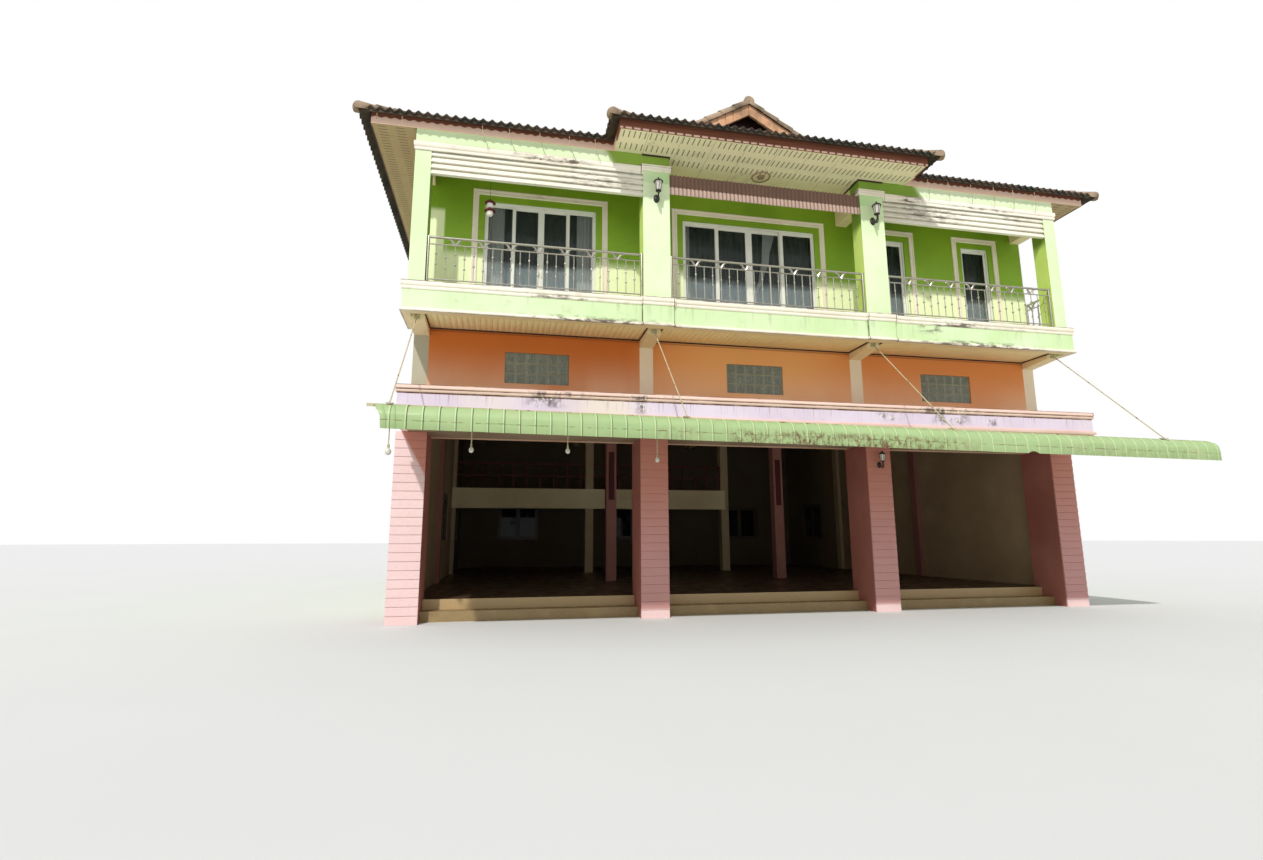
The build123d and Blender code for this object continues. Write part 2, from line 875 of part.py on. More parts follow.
# Gallery

def gallery_front():
    """Where the gallery's front face stands, just before the last row of columns."""
    return inner_column_rows()[-1] - gallery_lead


def gallery_x():
    """The gallery's ends: the left wall and the right row of columns."""
    return -x_inside, x_middle


def mezzanine_floor():
    """The gallery's floor and the deep beam along its front, cut round the columns it meets."""
    x = gallery_x()
    y = gallery_front()
    floor = block(x, (y, back - wall), (gallery_floor_height, gallery_floor_height + gallery_floor_thickness))
    beam_bottom = gallery_floor_height - gallery_beam_drop
    beam = block(x, (y, y + gallery_beam_width), (beam_bottom, gallery_beam_top))
    gallery = floor + beam
    for column in inner_columns():
        gallery -= column
    return gallery


def mezzanine_balustrade():
    """A plain balustrade along the gallery's front."""
    x0, x1 = gallery_x()
    y = gallery_front() + gallery_beam_width / 2
    across = about(y, balustrade_bar)
    top = gallery_beam_top + balustrade_height
    middle = gallery_beam_top + balustrade_height / 2
    start = x0 + pilaster_depth + railing_clearance
    end = x1 - inner_column_width / 2 - railing_clearance
    bars = block((start, end), across, (top - balustrade_bar, top))
    bars += block((start, end), across, about(middle, balustrade_bar))
    count = round((end - start) / balustrade_pitch)
    for number in range(count + 1):
        x = start + balustrade_bar / 2 + (end - start - balustrade_bar) * number / count
        bars += block(about(x, balustrade_bar), across, (gallery_beam_top, top))
    for column in inner_columns():
        bars -= column
    return bars


# Lamps

def lantern(x, y, z):
    """A wall lantern on a face that looks to the street."""
    lamp_y = y - lantern_arm - lantern_diameter / 2
    plate = block(about(x, lantern_plate), (y - lantern_plate_thickness, y), about(z, lantern_plate))
    arm = block(about(x, lantern_arm_size), (lamp_y, y), about(z, lantern_arm_size))
    body = Cylinder(lantern_diameter / 2, lantern_length)
    return plate + arm + Pos(x, lamp_y, z + lantern_length / 2) * body


def hanging_bulb(x):
    """A bulb on a short stem below the awning's middle purlin."""
    y, top = on_awning(purlin_places[1], -awning_thickness - purlin_size)
    top -= awning_drop(x)
    bulb_middle = top - bulb_drop - bulb_diameter / 2
    stem_top = top + purlin_size / 2
    stem_place = Pos(x, y, (bulb_middle + stem_top) / 2)
    stem = stem_place * Cylinder(bulb_rod / 2, stem_top - bulb_middle)
    bulb = Pos(x, y, bulb_middle) * Sphere(bulb_diameter / 2)
    return stem + bulb - awning_frame()


def lamps():
    """The wall lanterns and the hanging bulbs."""
    pieces = [lantern(x, pillar_front, upper_floor_top + lantern_rise) for x in (-x_middle, x_middle)]
    pieces.append(lantern(x_middle, front - pillar_projection, canopy_underside - ground_lantern_drop))
    pieces += [hanging_bulb(offset - x_end) for offset in bulb_offsets]
    return pieces


os.makedirs("parts", exist_ok=True)

save("floor_plinth", floor_plinth())
save("front_step", front_steps())
save("ground_corner_pillars", ground_pillars(x_end))
save("ground_middle_pillars", ground_pillars(x_middle))
save("front_columns", front_columns())
save("inner_columns", inner_columns())
save("front_wall_band", front_wall_band())
save("glass_block_windows", glass_block_windows())
save("canopy", canopy())
save("awning_sheet", awning_sheet())
save("awning_frame", awning_frame())
save("tie_rods", tie_rods())
save("upper_floor", upper_floor())
save("upper_floor_beams", upper_floor_beams())
save("balcony_beams", balcony_beams())
save("balcony_spandrel", balcony_spandrel())
save("balcony_mouldings", balcony_mouldings())
save("front_railings", front_railings())
save("side_railings", side_railings())
save("upper_pillars", upper_pillars())
save("pillar_caps", pillar_caps())
save("upper_beams", upper_beams())
save("cross_beams", cross_beams())
save("sunshades", sunshades())
save("centre_blind", centre_blind())
save("upper_front_wall", upper_front_wall())
save("door_surrounds", door_surrounds())

doors = [balcony_door(centre, width, leaves) for (centre, width), leaves in zip(door_holes(), (4, 4, 1, 1))]
save("left_balcony_door", doors[0][0])
save("middle_balcony_door", doors[1][0])
save("right_balcony_doors", [door for door, panes in doors[2:]])
save("balcony_door_glass", [pane for door, panes in doors for pane in panes])

save("right_wall", side_wall())
save("left_wall", mirror(side_wall(), Plane.YZ))
save("back_wall", back_wall())
window_frames, window_panes = windows()
save("window_frames", window_frames)
save("window_glass", window_panes)

save("eaves_soffit", eaves_soffit())
save("fascia_boards", fascia_boards())
save("main_roof", main_roof())
save("porch_roof", porch_roof())
save("gablet_wall", gablet_wall())
save("ridge_and_verge_tiles", [verge_band(), main_ridge_tiles()] + porch_ridge_tiles())
save("mezzanine_floor", mezzanine_floor())
save("mezzanine_balustrade", mezzanine_balustrade())
save("lamps", lamps())
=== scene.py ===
import math

import bmesh
import bpy
from mathutils import Matrix, Vector, noise


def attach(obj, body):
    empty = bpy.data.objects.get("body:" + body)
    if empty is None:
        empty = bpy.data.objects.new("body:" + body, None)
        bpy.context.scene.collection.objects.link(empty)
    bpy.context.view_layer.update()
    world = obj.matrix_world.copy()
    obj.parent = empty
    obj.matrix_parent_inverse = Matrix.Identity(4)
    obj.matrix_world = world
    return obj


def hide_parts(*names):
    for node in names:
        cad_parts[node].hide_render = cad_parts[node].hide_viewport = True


# A two-storey, three-bay shop house, in metres.
# X runs along the front, Y runs from the street into the house and Z is up.

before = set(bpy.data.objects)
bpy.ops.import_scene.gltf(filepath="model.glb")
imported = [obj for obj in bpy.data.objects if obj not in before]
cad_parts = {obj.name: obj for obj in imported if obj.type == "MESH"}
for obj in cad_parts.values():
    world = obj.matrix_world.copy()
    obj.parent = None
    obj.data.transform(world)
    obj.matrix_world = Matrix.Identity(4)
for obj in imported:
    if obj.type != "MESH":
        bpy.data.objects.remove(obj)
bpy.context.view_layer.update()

# Plan and heights shared with the part
front = -6.0
back = 6.0
x_middle = 2.139
x_end = 6.148
wall = 0.15
canopy_front = -7.19
canopy_x = 6.298
canopy_underside = 3.01
parapet_top = 3.634
balcony_front = -6.951
balcony_x = 6.36
upper_floor = 5.1
coping_top = 5.42
railing_top = 6.246
railing_line = -6.871
pillar_front = -6.917
pillar_back = -6.604
eaves = 8.15
roof_base = 8.235
slope = math.tan(math.radians(30.5))
tile_drop = 0.046 / math.cos(math.radians(30.5))
roof_x = 7.185
roof_front = -7.089
roof_back = 6.909
porch_half = 3.075
porch_edge = -7.744
verge = -6.179
ridge_rise = 0.075
spandrel_bottom = 4.9
spandrel_top = 5.41
cap_bottom = 7.83
moulding_bottom = 7.745
corner_x = 6.289
corner_x_inner = 6.028
middle_x_outer = 2.3845
middle_x_inner = 1.8935
column_back = -5.816
x_bay = 4.1435
awning_x = -6.44
awning_end = 7.07
awning_root = 3.235
awning_nose = -8.77
awning_foot = 2.677
awning_fall = 0.13
awning_drop = 0.22
awning_reach = 1.58
notch_x = 3.41
wave_pitch = 0.15
rib_pitch = 0.205
lantern_height = 7.3
ground_lantern_height = 2.63
bulbs = ((-6.245, 0.56), (-5.131, 0.507), (-3.764, 0.476), (-2.421, 0.563))
door_height = 2.349
doors = ((-4.1255, 2.057), (0.0, 2.782), (3.1105, 0.656), (5.1305, 0.656))


def smooth(mesh, degrees=40):
    """Shade a mesh smooth, with its edges above an angle kept sharp."""
    mesh.polygons.foreach_set("use_smooth", [True] * len(mesh.polygons))
    mesh.set_sharp_from_angle(angle=math.radians(degrees))
    mesh.update()


def piece(name, bm, material, replaces=(), degrees=40):
    """Make one named piece of the house from a mesh under construction."""
    bmesh.ops.recalc_face_normals(bm, faces=bm.faces)
    mesh = bpy.data.meshes.new(name)
    bm.to_mesh(mesh)
    bm.free()
    smooth(mesh, degrees)
    mesh.materials.append(material)
    made = bpy.data.objects.new(name, mesh)
    bpy.context.scene.collection.objects.link(made)
    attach(made, "root")
    if replaces:
        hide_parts(*replaces)
    return made


# Shapes

def add_grid(bm, rows, closed=False):
    """Faces between rows of points that all have the same length."""
    made = [[bm.verts.new(point) for point in row] for row in rows]
    for low, high in zip(made, made[1:]):
        count = len(low) if closed else len(low) - 1
        for number in range(count):
            after = (number + 1) % len(low)
            bm.faces.new((low[number], low[after], high[after], high[number]))
    return made


def add_loft(bm, rings):
    """A closed body through rings of points, with a face at each end."""
    made = add_grid(bm, rings, closed=True)
    bm.faces.new(made[0])
    bm.faces.new(list(reversed(made[-1])))


def add_block(bm, x, y, z, bevel=0.0):
    """A block between two places along each axis, with small bevels where asked."""
    if bevel == 0.0:
        rings = [[(x[0], y[0], h), (x[1], y[0], h), (x[1], y[1], h), (x[0], y[1], h)] for h in z]
        add_loft(bm, rings)
        return
    insets = [(z[0], bevel), (z[0] + bevel, 0.0), (z[1] - bevel, 0.0), (z[1], bevel)]
    rings = []
    for height, inset in insets:
        low_x, high_x, low_y, high_y = x[0] + inset, x[1] - inset, y[0] + inset, y[1] - inset
        ring = []
        for corner_x, corner_y, step_x, step_y in (
            (low_x, low_y, bevel, bevel), (high_x, low_y, -bevel, bevel),
            (high_x, high_y, -bevel, -bevel), (low_x, high_y, bevel, -bevel),
        ):
            first = (corner_x, corner_y + step_y, height)
            second = (corner_x + step_x, corner_y, height)
            ring += [first, second] if step_x * step_y > 0 else [second, first]
        rings.append(ring)
    add_loft(bm, rings)


def add_tube(bm, points, radii, sides=8):
    """A round bar along points, with one radius or one for each point."""
    points = [Vector(point) for point in points]
    radii = [radii] * len(points) if isinstance(radii, float) else radii
    rings = []
    for number, point in enumerate(points):
        before = points[max(number - 1, 0)]
        after = points[min(number + 1, len(points) - 1)]
        line = (after - before).normalized()
        guide = Vector((0, 0, 1)) if abs(line.z) < 0.9 else Vector((1, 0, 0))
        across = line.cross(guide).normalized()
        other = line.cross(across).normalized()
        ring = []
        for side in range(sides):
            turn = 2 * math.pi * side / sides
            ring.append(point + radii[number] * (math.cos(turn) * across + math.sin(turn) * other))
        rings.append(ring)
    add_loft(bm, rings)


def add_turned(bm, centre, outline, sides=20):
    """A turned body about an upright line, with an outline of radius and height."""
    rings = []
    for radius, height in outline:
        ring = []
        for side in range(sides):
            turn = 2 * math.pi * side / sides
            ring.append(
                (centre[0] + radius * math.cos(turn), centre[1] + radius * math.sin(turn), centre[2] + height)
            )
        rings.append(ring)
    add_loft(bm, rings)


def add_sweep(bm, path, outline):
    """A moulding along a path in plan, with an outline of distance out and height."""
    path = [Vector(point) for point in path]
    rings = []
    for number, point in enumerate(path):
        lines = []
        if number > 0:
            lines.append((point - path[number - 1]).normalized())
        if number < len(path) - 1:
            lines.append((path[number + 1] - point).normalized())
        outs = [Vector((line.y, -line.x)) for line in lines]
        out = sum(outs, Vector((0, 0))).normalized()
        out = out / out.dot(outs[0])
        rings.append([(point.x + out.x * far, point.y + out.y * far, height) for far, height in outline])
    add_loft(bm, rings)


# Materials

class Surface:
    """One material under construction, placed by metres in the house."""

    def __init__(self, name, roughness=0.8, metallic=0.0):
        self.material = bpy.data.materials.new(name)
        self.material.use_nodes = True
        self.tree = self.material.node_tree
        self.shader = self.tree.nodes["Principled BSDF"]
        self.shader.inputs["Roughness"].default_value = roughness
        self.shader.inputs["Metallic"].default_value = metallic
        coordinates = self.node("ShaderNodeTexCoord").outputs
        self.place = coordinates["Object"]
        self.axes = self.node("ShaderNodeSeparateXYZ", self.place).outputs
        self.facing = self.node("ShaderNodeSeparateXYZ", coordinates["Normal"]).outputs

    def node(self, kind, *inputs, **settings):
        """Add a node, set it up and connect its inputs in order."""
        made = self.tree.nodes.new(kind)
        for key, value in settings.items():
            setattr(made, key, value)
        for socket, value in zip(made.inputs, inputs):
            self.connect(value, socket)
        return made

    def connect(self, value, socket):
        """Link another node's output, or set a plain value."""
        if isinstance(value, bpy.types.NodeSocket):
            self.tree.links.new(value, socket)
        elif value is not None:
            socket.default_value = value

    def noise(self, scale, stretch=(1, 1, 1), detail=4.0, roughness=0.55, shift=(0, 0, 0)):
        """Cloudy variation between 0 and 1, finer with scale."""
        mapping = self.node("ShaderNodeMapping", self.place)
        mapping.inputs["Scale"].default_value = stretch
        mapping.inputs["Location"].default_value = shift
        cloud = self.node("ShaderNodeTexNoise")
        self.tree.links.new(mapping.outputs[0], cloud.inputs["Vector"])
        cloud.inputs["Scale"].default_value = scale
        cloud.inputs["Detail"].default_value = detail
        cloud.inputs["Roughness"].default_value = roughness
        return cloud.outputs["Fac"]

    def band(self, value, low, high, to_low=0.0, to_high=1.0):
        """A value brought from one range to another and kept within it."""
        made = self.node("ShaderNodeMapRange", value, low, high, to_low, to_high)
        made.interpolation_type = "SMOOTHSTEP"
        return made.outputs["Result"]

    def maths(self, operation, first, second=0.0):
        """A sum, product or other step on two values."""
        return self.node("ShaderNodeMath", first, second, operation=operation).outputs[0]

    def times(self, first, second):
        """One value multiplied by another."""
        return self.maths("MULTIPLY", first, second)

    def compare(self, value, centre, reach):
        """One where a value lies within a reach of a centre, and nothing elsewhere."""
        return self.node("ShaderNodeMath", value, centre, reach, operation="COMPARE").outputs[0]

    def rough(self, value):
        """Let a value set the roughness."""
        self.connect(value, self.shader.inputs["Roughness"])

    def near(self, axis, centre, reach):
        """1 at a place along an axis, and 0 from a distance away from it."""
        offset = self.maths("ABSOLUTE", self.maths("SUBTRACT", self.axes[axis], centre))
        return self.band(offset, reach, reach * 0.25)

    def mix(self, factor, first, second):
        """Blend two colours or colour outputs."""
        made = self.node("ShaderNodeMix", data_type="RGBA")
        self.connect(factor, made.inputs[0])
        for value, socket in ((first, made.inputs[6]), (second, made.inputs[7])):
            self.connect(value if isinstance(value, bpy.types.NodeSocket) else (*value, 1.0), socket)
        return made.outputs[2]

    def colour(self, value):
        """Set the base colour."""
        self.connect(value, self.shader.inputs["Base Color"])

    def bump(self, height, distance, strength=1.0):
        """Raise the surface by a height map, over any bump that it has already."""
        made = self.node("ShaderNodeBump")
        made.inputs["Strength"].default_value = strength
        made.inputs["Distance"].default_value = distance
        self.connect(height, made.inputs["Height"])
        if self.shader.inputs["Normal"].is_linked:
            self.connect(self.shader.inputs["Normal"].links[0].from_socket, made.inputs["Normal"])
        self.connect(made.outputs[0], self.shader.inputs["Normal"])


def tint(red, green, blue):
    """A colour as it looks on a screen, from 0 to 255, as the linear colour that shaders use."""
    linear = []
    for part in (red, green, blue):
        value = part / 255
        linear.append(value / 12.92 if value <= 0.04045 else ((value + 0.055) / 1.055) ** 2.4)
    return tuple(linear)


def painted(name, light, dark, dirt, roughness=0.78, spread=0.5, drips=None, patches=(),
            lines=(), underside=None, grain=0.0012):
    """Weathered paint on plaster: cloudy colour, grime, drips below a height, mould patches, and dark lines
    that are painted shade with dirt.
    """
    surface = Surface(name, roughness)
    colour = surface.mix(surface.band(surface.noise(0.7, detail=5.0), 0.3, 0.7), light, dark)
    grime = surface.band(surface.noise(3.5, detail=8.0, roughness=0.65), 0.56, 0.78, 0.0, spread)
    colour = surface.mix(grime, colour, dirt)
    if drips:
        top, bottom, strength = drips
        runs = surface.band(surface.noise(4.5, (1.6, 1.6, 0.12), 5.0), 0.53, 0.7)
        height = surface.band(surface.axes[2], bottom, top, 0.0, strength)
        colour = surface.mix(surface.times(runs, height), colour, tint(112, 106, 84))
    for centre, reach, height, rise, strength in patches:
        spot = surface.times(surface.near(0, centre, reach), surface.near(2, height, rise))
        blotch = surface.band(surface.noise(7.0, (0.6, 0.6, 1.8), 8.0, 0.68), 0.44, 0.6, 0.0, strength)
        colour = surface.mix(surface.times(spot, blotch), colour, tint(80, 60, 46))
    # Dark lines: painted shade at edges and joints, broken by noise like dirt.
    for axis, centre, reach, strength in lines:
        broken = surface.band(surface.noise(5.0, (0.6, 1, 0.6), 8.0, 0.7), 0.36, 0.58, 0.25, strength)
        shade_and_dirt_line = surface.times(surface.near(axis, centre, reach), broken)
        colour = surface.mix(shade_and_dirt_line, colour, tint(84, 58, 42))
    if underside:
        colour = surface.mix(surface.band(surface.facing[2], -0.4, -0.6), colour, underside)
    surface.colour(colour)
    surface.bump(surface.noise(90.0, detail=3.0), grain, 0.5)
    surface.bump(surface.noise(9.0, detail=4.0), grain * 3, 0.35)
    return surface.material


# Dark marks at the edges of the fields below the middle pillars: painted shade with dirt.
edge_shade_and_dirt_marks = tuple((0, x, 0.011, 0.85) for x in (-2.42, -1.858, 1.858, 2.42))


def make_materials():
    """The finishes of the house, by name."""
    made = {}
    made["pale_green"] = painted(
        "pale_green", tint(226, 244, 200), tint(206, 230, 172), tint(186, 192, 144),
        drips=(5.3, 4.9, 0.35),
        patches=((3.16, 0.35, 5.2, 0.14, 0.7), (4.4, 1.6, 4.97, 0.06, 0.6), (-3.3, 1.6, 4.97, 0.05, 0.6)),
        lines=edge_shade_and_dirt_marks, underside=tint(240, 222, 184),
    )
    made["pillar_green"] = pillar_paint()
    made["lime"] = lime_wall()
    made["white_moulding"] = painted(
        "white_moulding", tint(254, 248, 232), tint(242, 232, 212), tint(190, 172, 140), spread=0.5,
        patches=(
            (-3.85, 0.9, 5.3, 0.06, 0.8), (3.6, 1.1, 5.3, 0.08, 0.9), (5.3, 0.9, 5.3, 0.06, 0.4),
            (-4.0, 0.9, 7.83, 0.07, 1.0), (3.0, 0.35, 7.84, 0.1, 1.0), (4.6, 0.9, 7.8, 0.04, 0.7),
            (-3.2, 1.9, 4.93, 0.06, 0.9), (4.2, 2.1, 4.93, 0.06, 0.9),
        ),
        # Painted shade with dirt: dark lines at the field edges, along the coping's top and at the mouldings'
        # top and bottom edges.
        lines=2 * edge_shade_and_dirt_marks + (
            (2, 5.416, 0.024, 0.95), (2, 7.908, 0.012, 0.7), (2, 7.748, 0.01, 0.6), (2, 4.902, 0.01, 0.6)
        ),
    )
    made["surround"] = painted(
        "surround", tint(252, 244, 226), tint(238, 226, 204), tint(178, 160, 128), spread=0.4,
    )
    made["pink_ledge"] = painted(
        "pink_ledge", tint(236, 206, 196), tint(220, 184, 172), tint(160, 132, 112), spread=0.4,
    )
    made["cream"] = painted(
        "cream", tint(250, 236, 194), tint(236, 218, 174), tint(180, 154, 110), spread=0.4,
    )
    made["canopy_ceiling"] = painted(
        "canopy_ceiling", tint(176, 152, 122), tint(150, 124, 96), tint(96, 76, 56), spread=0.5,
    )
    made["inner_column"] = inner_column()
    made["lilac"] = parapet_paint()
    made["grey_column"] = column_paint()
    made["side_wall"] = side_wall()
    made["orange"] = orange_wall()
    made["terrazzo"] = terrazzo()
    made["floor_tile"] = floor_tile()
    made["pink_board"] = pink_board()
    # Painted shade: the pillars' plain sides get a darker, redder pink than their boards.
    made["pink_side"] = painted(
        "pink_side", tint(178, 112, 98), tint(158, 94, 80), tint(126, 74, 60), spread=0.4,
    )
    made["glass_block"] = glass_block()
    made["mortar"] = painted("mortar", tint(158, 160, 132), tint(138, 138, 112), tint(96, 90, 70))
    made["ceiling_board"] = painted(
        "ceiling_board", tint(255, 244, 196), tint(248, 232, 180), tint(210, 184, 130), spread=0.4,
    )
    made["awning"] = awning_sheet()
    made["steel_paint"] = rusted_paint()
    made["stainless"] = brushed_steel()
    made["white_sheet"] = painted(
        "white_sheet", tint(250, 246, 232), tint(230, 224, 204), tint(146, 130, 100), spread=0.55,
        roughness=0.5,
        patches=((-3.2, 0.9, 7.55, 0.25, 0.45), (3.4, 1.1, 7.6, 0.25, 0.5), (5.4, 0.5, 7.7, 0.12, 0.4)),
    )
    made["blind"] = blind_with_painted_light()
    made["window_frame"] = window_frame()
    made["door_paint"] = painted(
        "door_paint", tint(246, 246, 238), tint(230, 230, 218), tint(168, 160, 136), spread=0.3,
        roughness=0.42,
        grain=0.0003,
    )
    made["door_glass"] = clear_glass()
    made["dark_glass"] = dark_glass()
    made["soffit"] = soffit_board()
    made["porch_fascia"] = fascia_paint()
    made["dark_timber"] = stained_timber("dark_timber", tint(74, 44, 36), tint(52, 32, 28), tint(30, 22, 20))
    made["red_timber"] = stained_timber("red_timber", tint(112, 44, 34), tint(84, 32, 26), tint(48, 24, 20))
    made["roof_tile"] = mossy_tile("roof_tile", tint(74, 60, 46), tint(50, 43, 33), tint(36, 40, 25))
    made["ridge_tile"] = mossy_tile("ridge_tile", tint(176, 152, 126), tint(148, 124, 102), tint(84, 78, 56))
    made["verge_tile"] = mossy_tile(
        "verge_tile", tint(226, 176, 134), tint(206, 154, 114), tint(160, 128, 98)
    )
    made["lamp_metal"] = lamp_metal()
    made["lamp_glass"] = lamp_glass()
    made["curtain"] = cloth("curtain", tint(214, 230, 240), tint(170, 190, 208), shaded=tint(66, 74, 64))
    made["white_curtain"] = cloth("white_curtain", tint(246, 250, 246), tint(224, 232, 226))
    made["lantern_red"] = painted("lantern_red", tint(100, 32, 28), tint(76, 24, 22), tint(48, 20, 18))
    return made


def lime_wall():
    """Lime green plaster with painted light: lighter towards the bottom as painted shade high up, and pale
    where the sun reaches below the shades as painted sunlight.
    """
    surface = Surface("lime_wall", 0.74)
    colour = surface.mix(
        surface.band(surface.noise(0.7, detail=5.0), 0.3, 0.7), tint(140, 178, 30), tint(118, 156, 20)
    )
    # Painted shade: the wall is darker high up below the eaves and lighter towards the bottom.
    low = surface.band(surface.axes[2], 7.5, 6.5)
    colour = surface.mix(surface.times(low, 0.45), colour, tint(164, 206, 76))
    grime = surface.band(surface.noise(3.0, detail=8.0, roughness=0.65), 0.56, 0.78, 0.0, 0.35)
    colour = surface.mix(grime, colour, tint(98, 118, 30))
    # Painted sunlight: pale below about 6.4 m and in a strip beside the left corner pillar.
    painted_sun_strip = surface.times(
        surface.band(surface.axes[0], -5.84, -5.88), surface.band(surface.axes[2], 7.26, 7.14)
    )
    painted_sunlit_lime = surface.maths("MAXIMUM", surface.band(surface.axes[2], 6.5, 6.3), painted_sun_strip)
    surface.colour(surface.mix(surface.times(painted_sunlit_lime, 0.95), colour, tint(246, 255, 204)))
    surface.bump(surface.noise(90.0, detail=3.0), 0.0012, 0.5)
    surface.bump(surface.noise(9.0, detail=4.0), 0.0036, 0.35)
    return surface.material


def pillar_paint():
    """Pale green paint on the pillars' fronts and lime on their sides, with painted light: greener high on
    the middle pillars' fronts as painted shade, lime above the caps in the porch's shadow but pale where the
    sun reaches, and bright sides facing the sun below about 7.2 m.
    """
    surface = Surface("pillar_green", 0.78)
    cloud = surface.band(surface.noise(0.7, detail=5.0), 0.3, 0.7)
    pale = surface.mix(cloud, tint(234, 248, 206), tint(220, 240, 188))
    lime = surface.mix(cloud, tint(142, 176, 66), tint(122, 156, 50))
    # Painted shade: greener on the middle pillars' fronts above about 7.6 m.
    high = surface.times(surface.band(surface.axes[2], 7.59, 7.62), surface.near(0, 0.0, 3.2))
    pale = surface.mix(high, pale, tint(160, 212, 132))
    # Painted sunlight on the sides that face the sun.
    painted_sunlit_side = surface.mix(cloud, tint(222, 246, 136), tint(204, 234, 116))
    # Painted light above the caps: lime in the porch's shadow, pale where the sun reaches.
    slant = surface.maths("ADD", surface.axes[0], surface.times(surface.axes[2], 0.55))
    shaded = surface.times(surface.band(slant, 1.36, 1.5), surface.band(slant, 7.66, 7.52))
    above = surface.times(surface.band(surface.axes[2], 7.87, 7.89), shaded)
    colour = surface.mix(above, pale, lime)
    inner = surface.band(surface.maths("ABSOLUTE", surface.axes[0]), 6.2, 6.15)
    side = surface.mix(surface.band(surface.axes[2], 7.3, 7.1), lime, painted_sunlit_side)
    side = surface.mix(surface.band(surface.facing[0], 0.2, 0.4), side, lime)
    turned = surface.band(surface.maths("ABSOLUTE", surface.facing[0]), 0.6, 0.8)
    colour = surface.mix(surface.times(turned, inner), colour, side)
    grime = surface.band(surface.noise(3.5, detail=8.0, roughness=0.65), 0.56, 0.78, 0.0, 0.3)
    surface.colour(surface.mix(grime, colour, tint(180, 196, 130)))
    surface.bump(surface.noise(90.0, detail=3.0), 0.0012, 0.5)
    surface.bump(surface.noise(9.0, detail=4.0), 0.0036, 0.35)
    return surface.material


def column_paint():
    """Plaster on the front columns, grey at the left end and cream further right."""
    surface = Surface("grey_column", 0.8)
    cloud = surface.noise(0.9, detail=5.0)
    grey = surface.mix(cloud, tint(198, 192, 168), tint(172, 166, 140))
    cream = surface.mix(cloud, tint(255, 240, 212), tint(238, 220, 188))
    colour = surface.mix(surface.band(surface.axes[0], -5.0, -4.0), grey, cream)
    grime = surface.band(surface.noise(3.5, detail=8.0, roughness=0.65), 0.56, 0.78, 0.0, 0.5)
    surface.colour(surface.mix(grime, colour, tint(136, 120, 88)))
    surface.bump(surface.noise(90.0, detail=3.0), 0.0012, 0.5)
    surface.bump(surface.noise(9.0, detail=4.0), 0.0036, 0.35)
    return surface.material


def blind_with_painted_light():
    """A brown sheet with painted light: brown above as painted shade, salmon along its foot as painted
    sunlight, painted shade in the valleys of its ribs, and grime.
    """
    surface = Surface("blind", 0.6)
    brown = surface.mix(surface.noise(2.0, detail=6.0), tint(140, 108, 92), tint(112, 84, 70))
    painted_sunlit_salmon = surface.mix(surface.noise(3.0, detail=6.0), tint(255, 226, 210), tint(242, 202, 184))
    # Painted sunlight below about 7.58 m, painted shade above.
    colour = surface.mix(surface.band(surface.axes[2], 7.584, 7.568), brown, painted_sunlit_salmon)
    # Painted shade in the valleys of the ribs.
    share = surface.maths("FRACT", surface.maths("DIVIDE", surface.axes[0], 0.076))
    valley = surface.band(
        surface.maths("ABSOLUTE", surface.maths("SUBTRACT", share, 0.5)), 0.2, 0.08, 0.0, 0.6
    )
    colour = surface.mix(valley, colour, tint(104, 74, 60))
    grime = surface.band(surface.noise(4.0, (1, 1, 0.5), 8.0, 0.66), 0.5, 0.76, 0.0, 0.4)
    surface.colour(surface.mix(grime, colour, tint(96, 74, 58)))
    surface.bump(surface.noise(70.0, detail=4.0), 0.0008, 0.5)
    return surface.material


def window_frame():
    """White frames upstairs, and brown frames in the shop's windows."""
    surface = Surface("window_frame", 0.42)
    white = surface.mix(surface.noise(1.4, detail=5.0), tint(244, 244, 234), tint(226, 226, 212))
    brown = surface.mix(surface.noise(1.4, detail=5.0), tint(86, 70, 56), tint(64, 52, 42))
    surface.colour(surface.mix(surface.band(surface.axes[2], 4.9, 5.0), brown, white))
    surface.bump(surface.noise(120.0, detail=3.0), 0.0002, 0.4)
    return surface.material


def inner_column():
    """Pink-brown plaster on the front row of the shop's columns, and cream on the others."""
    surface = Surface("inner_column", 0.8)
    pink = surface.mix(surface.noise(1.4, detail=5.0), tint(176, 120, 108), tint(150, 98, 88))
    cream = surface.mix(surface.noise(1.4, detail=5.0), tint(206, 188, 152), tint(178, 158, 122))
    surface.colour(surface.mix(surface.band(surface.axes[1], -0.5, 0.5), pink, cream))
    surface.bump(surface.noise(60.0, detail=4.0), 0.0012, 0.5)
    return surface.material


